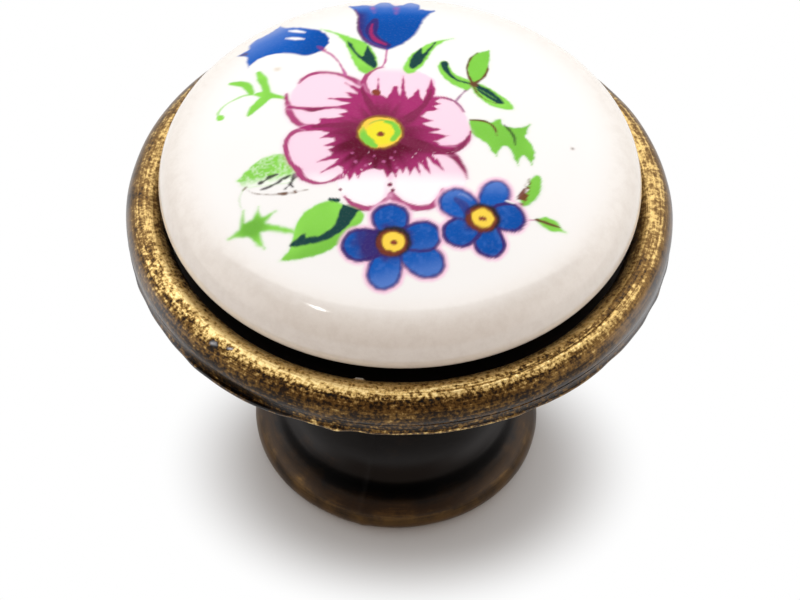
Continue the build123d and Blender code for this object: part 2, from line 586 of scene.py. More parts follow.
@dataclass
class CastBase:
    """The one-piece casting: screw hole, foot, cove, neck, flare, bowl, lip, bead and dish.

    Azimuths run from the front towards +X. The section angle runs round the bead, from 0 at its
    outermost line to 90 at its crest and on into the channel round the cap. A run holds the azimuths
    where a mark starts, is full, falls and ends. A reach holds the angles where it starts and is full.
    """

    bead_section: float = 2.7
    bead_height: float = 22.8
    bead_start: float = -16.0
    crevice_depth: float = 0.05
    lip_thickness: float = 0.5
    lip_end: float = 35.0
    lip_drop: float = 0.9
    lip_overhang: float = 1.25
    bowl_width: float = 3.7
    bowl_depth: float = 3.3
    neck_radius: float = 6.5
    neck_length: float = 1.5
    cove_width: float = 1.9
    cove_height: float = 4.0
    foot_radius: float = 10.25
    foot_thickness: float = 2.5
    foot_under_round: float = 0.7
    dish_drop: float = 0.3
    pocket_radius: float = 10.0
    pocket_depth: float = 1.0
    hole_radius: float = 1.65
    hole_depth: float = 14.0
    hole_point: float = 1.0
    hole_chamfer: float = 0.4
    mouth_margin: float = 0.4
    thread_pitch: float = 0.7
    thread_depth: float = 0.3
    thread_lead: float = 0.5
    thread_runout: float = 1.5
    thread_steps: int = 6
    hole_rub: float = 0.5
    hole_grit: float = 0.1
    columns: int = 512
    hole_columns: int = 32
    crease: float = 40.0
    seam_azimuth: float = -12.5
    seam_width: float = 0.3
    seam_height: float = 0.05
    lump_height: float = 0.03
    skin_lumps: int = 24
    skin_length: float = 2.5
    filed_lumps: int = 40
    filed_length: float = 1.1
    ragged_lumps: int = 90
    ragged_depth: float = 0.04
    burr_azimuth: float = -11.7
    burr_width: float = 0.7
    burr_height: float = 0.16
    droop_azimuth: float = -36.0
    droop_reach: tuple[float, float] = (26.0, 8.0)
    droop_depth: float = 0.12
    droop_lumps: int = 60
    opening_azimuth: float = -33.0
    opening_reach: tuple[float, float] = (9.0, 4.0)
    opening_depth: float = 0.08
    lip_gold: float = 0.14
    lip_gold_run: tuple[float, ...] = (-20.0, -10.0, 30.0, 75.0)
    lip_breaks: tuple[float, ...] = (-41.0, -27.6)
    break_reach: tuple[float, float] = (2.4, 1.4)
    break_dark: float = 0.4
    left_dark: float = 0.21
    right_dark: float = 0.17
    side_reach: tuple[float, float] = (42.0, 70.0)
    side_turned: tuple[float, float] = (64.0, 74.0)
    pit_dark: float = 0.5
    plain_grit: float = 0.05
    calm_right: tuple[float, float] = (22.0, 62.0)
    calm_left: tuple[float, float] = (-55.0, -85.0)
    calm_share: float = 0.6
    # Painted sheen: faint pale zinc at both sides of the rim, in place of the grey reflection that the bead's
    # outer side shows there.
    side_sheen: float = 0.14
    side_sheen_run: tuple[float, ...] = (40.0, 62.0, 84.0, 112.0)
    side_sheen_turned: tuple[float, float] = (52.0, 28.0)
    tool_run: tuple[float, ...] = (7.0, 9.0, 50.0, 66.0)
    groove: Spot = Spot(0.0, 89.0, 0.1, -0.09)
    ridge: Spot = Spot(0.0, 79.0, 0.12, 0.03)
    dents: tuple[Spot, ...] = (
        Spot(7.2, 74.0, 0.3, -0.09),
        Spot(-40.5, 63.0, 0.24, -0.1),
        Spot(-37.0, 76.0, 0.2, -0.07),
    )
    pits: tuple[Spot, ...] = (Spot(-40.5, 63.0, 0.32), Spot(-37.0, 76.0, 0.25))
    bare: tuple[Spot, ...] = (
        Spot(-40.9, 60.0, 0.1),
        Spot(-40.2, 63.0, 0.07),
        Spot(-40.7, 67.0, 0.07),
        Spot(-37.3, 74.5, 0.07),
        Spot(-36.7, 77.0, 0.06),
    )
    flake: tuple[Spot, ...] = (Spot(-8.9, 136.0, 0.14), Spot(-8.2, 136.0, 0.14), Spot(-7.5, 135.0, 0.12))
    flake_height: float = 0.13
    streaks: tuple[Streak, ...] = (
        Streak(0.14, -87.0, -69.0, -45.0, -27.0, 105.0, 16.0),
        Streak(0.16, -48.0, -38.0, -12.0, -4.0, 88.0, 12.0),
        # Painted light: this run lightens the channel wall at the front left, which lies in the cap's shade.
        Streak(0.14, -85.0, -60.0, -10.0, 14.0, 132.0, 15.0),
        Streak(-0.3, 2.0, 40.0, 60.0, 83.0, 94.0, 10.0),
        Streak(-0.1, -48.0, -24.0, 24.0, 48.0, 60.0, 8.0),
    )
    finish: AntiqueBrass = field(default_factory=AntiqueBrass)

    def __post_init__(self) -> None:
        """Takes the rim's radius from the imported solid, and works out the section and the columns."""
        low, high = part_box("cast_base")
        self.rim_radius = (high.x - low.x) / 2 / MM
        self.bead = self.bead_section / 2
        self.bead_middle = self.rim_radius - self.bead
        self.mouth = self.hole_radius + self.hole_chamfer
        self.section = self.outline()
        self.azimuth = self.azimuths(self.columns)
        self.degrees = np.degrees(offset(self.azimuth, 0.0))
        self.turned = self.section_angle(self.section.radius, self.section.height)[:, None]

    def outline(self) -> Outline:
        """Works out the half section, from the mouth of the screw hole round the outside to the dish.

        It is a chain of straight lines and quarter ellipses, with the lip and the bead as longer arcs.

        Returns:
            The section, with the wear of each point and the painted light on the bead's inner slope.
        """
        under = self.foot_under_round
        face = self.foot_radius - under
        cove = self.neck_radius + self.cove_width
        cove_size = (self.cove_width, self.cove_height)
        foot_size = (self.foot_radius - cove, self.foot_thickness - under)
        neck_bottom = self.foot_thickness + self.cove_height
        neck_top = neck_bottom + self.neck_length
        lip_bottom = self.bead_height - self.lip_drop - self.lip_thickness
        lip_round = self.lip_thickness / 2
        lip_size = (lip_round, lip_round)
        lip = (self.rim_radius - lip_round, lip_bottom + lip_round)
        bowl = self.rim_radius - self.bowl_width
        bowl_edge = lip[0] - self.lip_overhang
        bowl_size = (bowl_edge - bowl, self.bowl_depth)
        flare_size = (bowl - self.neck_radius, lip_bottom - self.bowl_depth - neck_top)
        bead = (self.bead_middle, self.bead_height)
        bead_size = (self.bead, self.bead)
        bead_sweep = 180.0 + math.degrees(math.asin(self.dish_drop / self.bead)) - self.bead_start
        bead_foot = self.bead_middle - math.sqrt(self.bead**2 - self.dish_drop**2)
        lip_corner = arc(lip, lip_size, self.lip_end, 1.0, 1)[0]
        bead_corner = arc(bead, bead_size, self.bead_start, 1.0, 1)[0]
        ledge = (lip_corner[0], (lip_corner[1] + bead_corner[1]) / 2)
        ledge_size = (-self.crevice_depth, (bead_corner[1] - lip_corner[1]) / 2)
        floor = self.bead_height - self.dish_drop
        pocket, bottom = self.pocket_radius, floor - self.pocket_depth
        parts = (
            (Zone.FACE, 0.25, 0.35, line((self.mouth + self.mouth_margin, 0.0), (face, 0.0), 4)),
            (Zone.FOOT_UNDER, 0.35, 0.36, arc((face, under), (under, under), -90.0, 90.0, 6)),
            (Zone.FOOT, 0.36, 0.04, arc((cove, under), foot_size, 0.0, 90.0, 14)),
            (Zone.COVE, 0.0, 0.0, arc((cove, neck_bottom), cove_size, 270.0, -90.0, 14)),
            (Zone.NECK, 0.0, 0.0, line((self.neck_radius, neck_bottom), (self.neck_radius, neck_top), 3)),
            (Zone.FLARE, 0.0, 0.1, arc((bowl, neck_top), flare_size, 180.0, -90.0, 20)),
            (Zone.BOWL, 0.1, 0.1, arc((bowl, lip_bottom), bowl_size, 270.0, 90.0, 8)),
            (Zone.LIP_UNDER, 0.1, 0.3, line((bowl_edge, lip_bottom), (lip[0], lip_bottom), 3)),
            (Zone.LIP, 0.5, 0.2, arc(lip, lip_size, -90.0, 90.0 + self.lip_end, 8)),
            (Zone.LEDGE, 0.2, 0.2, arc(ledge, ledge_size, -90.0, 180.0, 8)),
            (Zone.BEAD, 0.0, 0.0, arc(bead, bead_size, self.bead_start, bead_sweep, 78)),
            (Zone.DISH, 0.0, 0.0, line((bead_foot, floor), (pocket, floor), 3)),
            (Zone.DISH, 0.0, 0.0, line((pocket, floor), (pocket, bottom), 2)),
            (Zone.DISH, 0.0, 0.0, line((pocket, bottom), (0.0, bottom), 3)),
        )
        radius, height = np.concatenate([points for *_, points in parts]).T
        zone = np.concatenate([np.full(len(points), kind) for kind, *_, points in parts])
        rub_and_light = np.concatenate([np.linspace(first, last, len(points)) for _, first, last, points in parts])
        bead_rub_and_light = self.bead_rub_and_light(self.section_angle(radius, height))
        return Outline(radius, height, zone, np.where(zone == Zone.BEAD, bead_rub_and_light, rub_and_light))

    def section_angle(self, radius: np.ndarray, height: np.ndarray) -> np.ndarray:
        """Angle of points round the bead's section in degrees, from -90 to 270."""
        angle = np.degrees(np.arctan2(height - self.bead_height, radius - self.bead_middle))
        return np.where(angle < -90.0, angle + 360.0, angle)

    def bead_rub_and_light(self, turned: np.ndarray) -> np.ndarray:
        """Wear of the bead by the section angle: gold on the crest, dark in the channel and under the side,
        with painted light on the inner slope.

        Args:
            turned: section angles in degrees.

        Returns:
            The wear at each.
        """
        # From 105 to 145 degrees the levels are partly gold wear and partly painted light, lightening the
        # inner slope in the shade of the cap's edge.
        stops = (-45.0, -20.0, 15.0, 45.0, 58.0, 68.0, 85.0, 105.0, 125.0, 145.0, 165.0)
        levels = (0.2, 0.2, 0.25, 0.35, 0.37, 0.56, 0.67, 0.75, 0.68, 0.56, 0.1)
        return np.interp(turned, stops, levels)

    def azimuths(self, count: int) -> np.ndarray:
        """Azimuths of columns: even steps less half the sine of each, so that they are closest in front."""
        even = np.linspace(-math.pi, math.pi, count, endpoint=False)
        return even - 0.5 * np.sin(even)

    def lumps_round(self, count: int, along: np.ndarray, seed: int) -> np.ndarray:
        """Random field with a whole number of units round the axis."""
        return lumps(self.azimuth / TURN * count, along, seed, count)

    def spots(self, spots: Sequence[Spot]) -> list[np.ndarray]:
        """Works out round spots on the bead: a bell curve of the distance from each spot's middle.

        Args:
            spots: the spots.

        Returns:
            For each spot its levels from 0 to 1, for each point of the section and each column.
        """
        levels = []
        bead = self.section.within(Zone.BEAD)
        for spot in spots:
            sideways = self.rim_radius * offset(self.azimuth, spot.azimuth)
            angle = math.radians(spot.turned)
            away = np.hypot(
                self.section.radius - self.bead_middle - self.bead * math.cos(angle),
                self.section.height - self.bead_height - self.bead * math.sin(angle),
            )
            levels.append(bead * bell(np.hypot(sideways, away[:, None]), spot.size))
        return levels

    def mould_marks(self) -> np.ndarray:
        """Height of the two mould seams and of the cast skin's soft lumps, below the rim.

        Returns:
            Millimetres along the normal, for each point of the section and each column.
        """
        plain = (Zone.FOOT_UNDER, Zone.FOOT, Zone.COVE, Zone.NECK, Zone.FLARE, Zone.BOWL)
        radius = self.section.radius[:, None]
        sideways = [radius * offset(self.azimuth, self.seam_azimuth + turn) for turn in (0.0, 180.0)]
        seams = self.seam_height * sum(bell(distance, self.seam_width) for distance in sideways)
        along = self.section.along() / self.skin_length
        skin = self.lump_height * self.lumps_round(self.skin_lumps, along, seed=3)
        return self.section.within(*plain) * (seams + skin)

    def bead_marks(self) -> np.ndarray:
        """Height of the bead's marks.

        They are file marks all round, a tool's groove along the right of the crest with the ridge that it
        threw up, the dents, and the flake in the channel.

        Returns:
            Millimetres along the normal, for each point of the section and each column.
        """
        along = self.section.along() / self.filed_length
        filed = -self.lump_height * (1.0 + self.lumps_round(self.filed_lumps, along, seed=4))
        tool = between(self.degrees, *self.tool_run) * sum(
            cut.height * bell(self.bead * np.radians(self.turned - cut.turned), cut.size)
            for cut in (self.groove, self.ridge)
        )
        dents = sum(dent.height * level for dent, level in zip(self.dents, self.spots(self.dents)))
        flake = self.flake_height * np.minimum(sum(self.spots(self.flake)), 1.0)
        return self.section.within(Zone.BEAD) * (filed + tool) + dents + flake

    def lip_marks(self) -> np.ndarray:
        """Height of the lip's marks: its ragged edge, the burr in front, the droop and opening at the left.

        Returns:
            Millimetres along the normal, for each point of the section and each column.
        """
        level = np.zeros_like(self.azimuth)
        ragged = self.ragged_depth * (1.0 + self.lumps_round(self.ragged_lumps, level, seed=6))
        sideways = self.rim_radius * offset(self.azimuth, self.burr_azimuth)
        burr = self.burr_height * bell(sideways, self.burr_width)
        droop = self.droop_depth * ease(*self.droop_reach, np.abs(self.degrees - self.droop_azimuth))
        droop = droop * (1.0 + 0.6 * self.lumps_round(self.droop_lumps, level, seed=7))
        away = np.abs(self.degrees - self.opening_azimuth)
        opening = self.opening_depth * ease(*self.opening_reach, away)
        lip = self.section.within(Zone.LIP, Zone.LIP_UNDER)
        return lip * (burr + droop - ragged) - opening * self.section.within(Zone.LEDGE)

    def rub_and_light(self) -> np.ndarray:
        """Works out the wear with its painted light: the section's, with what differs round the rim.

        The lip is gold in front and at the right but for two breaks. The bead has its streaks, one of which is
        painted light on the channel wall at the front left, is darker at both sides and dark in the pits.

        Returns:
            The wear with its painted light, for each point of the section and each column.
        """
        breaks = sum(ease(*self.break_reach, np.abs(self.degrees - middle)) for middle in self.lip_breaks)
        lip = self.lip_gold * between(self.degrees, *self.lip_gold_run) - self.break_dark * breaks
        sides = np.where(self.degrees < 0.0, self.left_dark, self.right_dark)
        sides = sides * ease(*self.side_reach, np.abs(self.degrees))
        bead = sum(streak.level(self.degrees, self.turned) for streak in self.streaks)
        bead = bead - sides * ease(*self.side_turned, self.turned)
        lip = lip * self.section.within(Zone.LIP, Zone.LIP_UNDER)
        bead = bead * self.section.within(Zone.BEAD)
        return self.section.rub_and_light[:, None] + lip + bead - self.pit_dark * sum(self.spots(self.pits))

    def grit(self) -> np.ndarray:
        """Works out how far grain and streaks break up the finish: most on the bead, little below it.

        Returns:
            Levels from 0 to 1, for each point of the section and each column.
        """
        rough = self.section.within(Zone.LIP_UNDER, Zone.LIP, Zone.LEDGE, Zone.BEAD)
        stops, levels = (-25.0, 0.0, 40.0, 64.0, 165.0), (0.7, 0.45, 0.45, 0.95, 0.9)
        by_angle = np.interp(self.turned, stops, levels)
        calm = np.maximum(ease(*self.calm_right, self.degrees), ease(*self.calm_left, self.degrees))
        return (self.plain_grit + rough * by_angle) * (1.0 - self.calm_share * calm)

    def chip_and_sheen(self) -> np.ndarray:
        """Works out where the zinc shows, in two pits and on the flake, and the faint pale zinc painted at
        both sides of the rim as a sheen.

        Returns:
            Levels from 0 to 1, for each point of the section and each column.
        """
        # Painted sheen of pale zinc at both sides of the rim, low on the bead's outer side and on the lip.
        thin = self.side_sheen * between(np.abs(self.degrees), *self.side_sheen_run)
        thin = thin * ease(*self.side_sheen_turned, self.turned)
        thin = thin * self.section.within(Zone.LIP, Zone.LEDGE, Zone.BEAD)
        return np.minimum(thin + sum(self.spots((*self.bare, *self.flake))), 1.0)

    def hole(self) -> np.ndarray:
        """Points of the tapped hole, from its end down to the mouth.

        A ring at a height has the drilled radius plus the thread's depth times a wave that rises and
        falls once for each pitch of height and slips by one pitch for each turn.

        Returns:
            Rings of points, in millimetres.
        """
        angle = self.azimuths(self.hole_columns) - math.pi / 2
        chamfer, depth = self.hole_chamfer, self.hole_depth
        height = np.arange(depth, chamfer, -self.thread_pitch / self.thread_steps)[:, None]
        turn = (height / self.thread_pitch - angle / TURN) % 1.0
        wave = np.clip(1.25 - 2.5 * np.abs(turn - 0.5), 0.0, 1.0)
        full, fall = chamfer + self.thread_lead, depth - self.thread_runout
        cut = self.thread_depth * between(height, chamfer, full, fall, depth)
        wall = revolved(self.hole_radius + cut * wave, height, angle)
        mouth = revolved(np.array([[self.hole_radius], [self.mouth]]), np.array([[chamfer], [0.0]]), angle)
        return np.concatenate([wall, mouth])

    def build(self) -> bpy.types.Object:
        """Turns the section round the axis with its marks, cuts the thread and dresses the casting.

        Returns:
            The piece.
        """
        push = self.mould_marks() + self.bead_marks() + self.lip_marks()
        outward, upward = self.section.normals()
        radius = self.section.radius[:, None] + push * outward
        height = np.maximum(self.section.height[:, None] + push * upward, 0.0)
        shell = Shell()
        outer = shell.add(revolved(radius, height, self.azimuth - math.pi / 2))
        shell.band(outer)
        shell.cap(outer[-1], self.section.height[-1], False)
        hole = shell.add(self.hole())
        shell.band(hole)
        shell.step(hole[-1], outer[0])
        shell.cap(hole[0], self.hole_depth + self.hole_point, True)
        mesh = shell.mesh("aged_base", self.crease)
        for name, levels, inside in (
            ("along", self.section.along(), 0.0),
            ("rub_and_light", self.rub_and_light(), self.hole_rub),
            ("grit", self.grit(), self.hole_grit),
            ("chip_and_sheen", self.chip_and_sheen(), 0.0),
        ):
            rest = np.full(shell.count - outer.size, inside)
            mark(mesh, name, np.concatenate([np.broadcast_to(levels, outer.shape).ravel(), rest]))
        return add_piece("aged_base", mesh, "cast_base", self.finish.material())


def curve(points: Points, closed: bool = False, steps: int = 6) -> np.ndarray:
    """Smooth curve through a few points.

    Each span is the cubic whose slope at a point is half the step between that point's neighbours,
    so a point that is given twice makes a corner.

    Args:
        points: the points in order, with any further columns, such as a width, carried along.
        closed: whether the last point runs on to the first.
        steps: number of points to a span.

    Returns:
        The curve's points, with the same columns.
    """
    knots = np.asarray(points, float)
    if closed:
        around = [np.roll(knots, shift, axis=0) for shift in (1, 0, -1, -2)]
    else:
        padded = np.concatenate([knots[:1], knots, knots[-1:]])
        around = [padded[first : first + len(knots) - 1] for first in range(4)]
    before, start, end, after = (part[:, None] for part in around)
    t = np.linspace(0.0, 1.0, steps, endpoint=False)[:, None]
    leave, meet = (end - before) / 2, (after - start) / 2
    spans = (1.0 - 3.0 * t**2 + 2.0 * t**3) * start + (3.0 * t**2 - 2.0 * t**3) * end
    spans = spans + (t - 2.0 * t**2 + t**3) * leave + (t**3 - t**2) * meet
    smooth = spans.reshape(-1, knots.shape[1])
    return smooth if closed else np.concatenate([smooth, knots[-1:]])


def oval(centre: Sequence[float], size: Sequence[float]) -> np.ndarray:
    """Outline of an ellipse with the given half sizes."""
    return arc(centre, size, 0.0, 360.0, 40)


def ranges(place: np.ndarray, starts: np.ndarray, ends: np.ndarray) -> tuple[np.ndarray, np.ndarray]:
    """Distance from each point to each straight span, and how far along the span its nearest place lies.

    Args:
        place: points, as rows of x and y.
        starts: first ends of the spans.
        ends: their other ends.

    Returns:
        Distances and shares from 0 to 1, with a row for each point and a column for each span.
    """
    step = ends - starts
    length = np.maximum((step**2).sum(axis=1), 1e-12)
    from_start = place[:, None] - starts
    share = np.clip((from_start * step).sum(axis=2) / length, 0.0, 1.0)
    gap = from_start - share[..., None] * step
    return np.hypot(gap[..., 0], gap[..., 1]), share


class Ink(Enum):
    """Colours of the printed spray."""

    BLUSH = srgb(251, 217, 235)
    PINK = srgb(246, 196, 226)
    PETAL_LINE = srgb(196, 104, 158)
    ROSE = srgb(168, 50, 112)
    WINE = srgb(126, 40, 76)
    PLUM = srgb(98, 16, 46)
    CRIMSON = srgb(176, 40, 98)
    SKY = srgb(88, 128, 206)
    BLUE = srgb(20, 92, 186)
    DEEP_BLUE = srgb(4, 76, 164)
    INDIGO = srgb(58, 36, 108)
    LILAC = srgb(150, 168, 216)
    LEAF = srgb(146, 224, 88)
    LIME = srgb(130, 209, 74)
    MOSS = srgb(120, 194, 68)
    FERN = srgb(104, 174, 60)
    PINE = srgb(26, 68, 66)
    YELLOW = srgb(242, 230, 54)
    AMBER = srgb(255, 208, 80)
    GOLDEN = srgb(252, 216, 78)
    OCHRE = srgb(150, 102, 46)
    BROWN = srgb(138, 66, 48)
    UMBER = srgb(108, 72, 48)
    MAUVE = srgb(160, 112, 150)
    SOOT = srgb(44, 38, 42)
    RUST = srgb(116, 54, 40)
    CREAM = srgb(222, 212, 196)
    WHITE = srgb(255, 254, 254)


@dataclass(frozen=True)
class Stain:
    """The points of a canvas near a shape, and how far the shape covers each: from 0 for bare to 1."""

    index: np.ndarray
    cover: np.ndarray

    def __mul__(self, share: "float | np.ndarray") -> "Stain":
        """The stain with its cover scaled."""
        return Stain(self.index, self.cover * share)


class Canvas:
    """Points of the cap's top seen from above, and the colours that they have been given."""

    waver: float = 0.05
    waver_length: float = 0.25

    def __init__(self, place: np.ndarray, ground: np.ndarray) -> None:
        """Lays the canvas out.

        Args:
            place: its points, as rows of x and y in millimetres.
            ground: the colour of the bare ground at each point.
        """
        self.place = place
        self.colour = ground.copy()
        self.ragged = self.waver * lumps(*(place.T / self.waver_length), 11)

    def near(self, shape: np.ndarray, margin: float) -> np.ndarray:
        """Numbers of the points in the box round a shape."""
        low, high = shape[:, :2].min(axis=0) - margin, shape[:, :2].max(axis=0) + margin
        return np.flatnonzero(((self.place > low) & (self.place < high)).all(axis=1))

    def area(self, shape: np.ndarray, soft: float = 0.08) -> Stain:
        """Inside of a closed outline: a soft step of the distance from it, positive inside.

        Args:
            shape: the outline's points.
            soft: half the width over which the edge fades, in millimetres.

        Returns:
            The points and their cover.
        """
        index = self.near(shape, 2.0 * soft)
        place, ends = self.place[index], np.roll(shape, -1, axis=0)
        gap = ranges(place, shape, ends)[0].min(axis=1)
        x, y = place[:, :1], place[:, 1:]
        crosses = (shape[:, 1] > y) != (ends[:, 1] > y)
        rise = np.where(ends[:, 1] == shape[:, 1], 1.0, ends[:, 1] - shape[:, 1])
        left = x < shape[:, 0] + (y - shape[:, 1]) * (ends[:, 0] - shape[:, 0]) / rise
        inside = (crosses & left).sum(axis=1) % 2 == 1
        return Stain(index, ease(-soft, soft, np.where(inside, gap, -gap) + self.ragged[index]))

    def stroke(self, path: np.ndarray, soft: float = 0.07) -> Stain:
        """Brush stroke along a path whose third column is its width: half the width less the distance.

        Args:
            path: rows of x, y and width.
            soft: half the width over which the edge fades, in millimetres.

        Returns:
            The points and their cover.
        """
        index = self.near(path, path[:, 2].max() / 2 + 2.0 * soft)
        gap, share = ranges(self.place[index], path[:-1, :2], path[1:, :2])
        width = path[:-1, 2] + share * (path[1:, 2] - path[:-1, 2])
        return Stain(index, ease(-soft, soft, (width / 2 - gap).max(axis=1) + 0.6 * self.ragged[index]))

    def edge(self, shape: np.ndarray, width: float, soft: float = 0.07) -> Stain:
        """Stroke of one width along a closed outline."""
        closed = np.concatenate([shape, shape[:1]])
        return self.stroke(np.column_stack([closed, np.full(len(closed), width)]), soft)

    def at(self, stain: Stain) -> np.ndarray:
        """The points of a stain, as rows of x and y."""
        return self.place[stain.index]

    def fade(self, stain: Stain, start: Sequence[float], end: Sequence[float]) -> np.ndarray:
        """Share that runs from 0 at a start to 1 at an end, the same all along the lines across."""
        step = np.subtract(end, start)
        return ease(0.0, 1.0, (self.at(stain) - np.asarray(start)) @ step / (step @ step))

    def mottle(self, stain: Stain, size: float, seed: int) -> np.ndarray:
        """Random share from 0 to 1 in patches of about a size."""
        place = self.at(stain) / size
        return 0.5 + 0.5 * lumps(place[:, 0], place[:, 1], seed)

    def paint(self, stain: Stain, ink: Ink, strength: float = 1.0) -> Stain:
        """Lays an ink over a stain.

        Args:
            stain: the stain.
            ink: the ink.
            strength: how much of the ink is laid on, 1 for all.

        Returns:
            The stain.
        """
        share = np.clip(stain.cover * strength, 0.0, 1.0)[:, None]
        self.colour[stain.index] = self.colour[stain.index] * (1.0 - share) + np.asarray(ink.value) * share
        return stain


class FlowerSpray(Canvas):
    """A canvas with a printed spray of garden flowers: each motif is a few smooth outlines and strokes, with
    painted reflections whitening a band across the lower flowers and leaf.
    """

    def leaf(self, points: Points, ink: Ink = Ink.LEAF, deeper: Ink = Ink.MOSS, soft: float = 0.08) -> Stain:
        """Prints a flat leaf with a faint bleed of ink round it, and patches of a second green.

        Args:
            points: a few points of its outline, in order.
            ink: its green.
            deeper: the green of the patches.
            soft: half the width over which its edge fades, in millimetres.

        Returns:
            The leaf's stain.
        """
        shape = curve(points, closed=True)
        self.paint(self.area(shape, 0.28), ink, 0.3)
        stain = self.area(shape, soft)
        self.paint(stain, ink)
        self.paint(stain * self.mottle(stain, 0.9, 21), deeper, 0.55)
        return stain

    def shape(self, points: Points, ink: Ink, strength: float = 1.0) -> Stain:
        """Fills the smooth outline through a few points with an ink."""
        return self.paint(self.area(curve(points, closed=True)), ink, strength)

    def brush(self, points: Points, ink: Ink, strength: float = 1.0) -> Stain:
        """Draws a smooth stroke through rows of x, y and width."""
        return self.paint(self.stroke(curve(points)), ink, strength)

    def disc(self, centre: Sequence[float], radius: float, ink: Ink, soft: float = 0.06) -> Stain:
        """Fills a circle with an ink."""
        return self.paint(self.area(oval(centre, (radius, radius)), soft), ink)

    def shade(
        self, stain: Stain, start: Sequence[float], end: Sequence[float], ink: Ink, strength: float = 1.0
    ) -> None:
        """Lays an ink over a stain, from none at a start to all of it at an end."""
        self.paint(stain * self.fade(stain, start, end), ink, strength)

    def rose_petals(self) -> None:
        """Pale petals of the large flower, with the lines round them; the lower petals whiten towards the
        front in a painted reflection.
        """
        petals = [
            (-7.0, 2.3), (-6.95, 3.4), (-6.5, 4.5), (-5.8, 5.2), (-5.0, 5.3), (-3.9, 5.0), (-2.7, 4.2),
            (-2.3, 4.9), (-1.7, 5.5), (-0.8, 5.9), (0.4, 5.7), (1.5, 5.1), (2.1, 4.4), (2.2, 3.0),
            (3.2, 2.6), (3.85, 1.7), (4.25, 0.4), (4.15, -0.6), (3.4, -1.8), (3.9, -3.2), (3.9, -4.3),
            (3.1, -5.0), (2.4, -5.8), (1.3, -6.3), (0.3, -6.0), (-0.6, -5.5), (-1.2, -6.2), (-2.1, -6.4),
            (-3.1, -5.8), (-3.7, -4.8), (-3.9, -4.2), (-4.9, -4.4), (-5.9, -3.8), (-6.4, -3.0),
            (-7.0, -1.8), (-6.9, -0.4), (-6.1, 0.2), (-6.7, 1.0),
        ]
        shape = curve(petals, closed=True)
        stain = self.area(shape, 0.1)
        x, y = self.at(stain).T
        stain = stain * (1.0 - ease(5.1, 5.9, y) * ease(-2.7, -1.9, x))
        self.paint(stain, Ink.BLUSH)
        # Painted reflection: a band of bright light on the glaze whitens the lower petals.
        self.shade(stain, (-1.0, -3.2), (-1.0, -4.6), Ink.WHITE, 0.8)
        lines = [
            [(-6.5, 4.4, 0.12), (-6.2, 4.9, 0.2), (-5.6, 5.28, 0.22), (-4.9, 5.33, 0.2),
             (-4.1, 5.1, 0.18), (-3.3, 4.65, 0.26), (-2.5, 4.0, 0.4)],
            [(-7.25, 3.45, 0.12), (-7.2, 2.9, 0.2), (-7.05, 2.2, 0.3), (-6.95, 1.6, 0.36),
             (-6.6, 0.9, 0.34), (-6.1, 0.4, 0.3), (-5.5, 0.2, 0.4)],
            [(-7.0, 2.15, 0.2), (-6.3, 1.98, 0.2), (-5.6, 1.8, 0.32), (-4.9, 1.85, 0.2), (-3.9, 1.9, 0.2),
             (-3.0, 1.8, 0.5)],
            [(-5.8, 0.1, 0.3), (-6.5, -0.05, 0.26), (-6.95, -0.6, 0.24), (-7.05, -1.3, 0.24),
             (-6.9, -2.1, 0.24), (-6.6, -2.8, 0.24), (-6.2, -3.3, 0.34), (-5.9, -3.9, 0.3),
             (-5.5, -4.2, 0.24), (-4.9, -4.42, 0.16), (-4.2, -4.3, 0.14), (-3.5, -3.9, 0.3)],
            [(-3.3, -5.5, 0.12), (-2.8, -6.05, 0.24), (-2.0, -6.4, 0.3), (-1.3, -6.2, 0.22),
             (-0.7, -5.6, 0.22)],
            [(-0.5, -5.4, 0.4), (0.0, -5.9, 0.4), (0.6, -6.2, 0.36), (1.3, -6.3, 0.3), (2.0, -6.05, 0.34),
             (2.4, -5.5, 0.3), (2.6, -4.9, 0.24)],
            [(2.5, -1.7, 0.6), (3.2, -2.1, 0.42), (3.6, -2.7, 0.3), (3.9, -3.25, 0.2), (4.05, -3.9, 0.08)],
            [(1.9, 2.8, 0.3), (2.6, 2.87, 0.16), (3.25, 2.62, 0.14), (3.65, 2.15, 0.12),
             (3.88, 1.7, 0.08)],
            [(4.27, 0.0, 0.08), (4.2, -0.5, 0.2), (3.9, -1.05, 0.32), (3.4, -1.5, 0.42), (2.7, -1.7, 0.6)],
            [(-1.2, 5.75, 0.08), (-1.7, 5.55, 0.16), (-2.1, 5.15, 0.24), (-2.35, 4.6, 0.26),
             (-2.42, 4.0, 0.3), (-2.2, 3.0, 0.5)],
        ]
        for points in lines:
            path = curve(points) * (1.0, 1.0, 1.3)
            self.paint(self.stroke(path * (1.0, 1.0, 1.4), 0.3), Ink.PINK, 0.5)
            self.paint(self.stroke(path), Ink.ROSE, 0.95)
        self.brush([
            (2.9, 2.82, 0.12), (3.3, 2.6, 0.16), (3.7, 2.1, 0.14), (3.9, 1.65, 0.08),
        ], Ink.MAUVE, 0.7)
        blur = self.stroke(curve([(-0.5, -3.8, 0.7), (-0.6, -4.6, 0.5), (-0.5, -5.5, 0.5)]), 0.3)
        self.paint(blur * self.mottle(blur, 0.3, 33), Ink.PINK, 0.8)

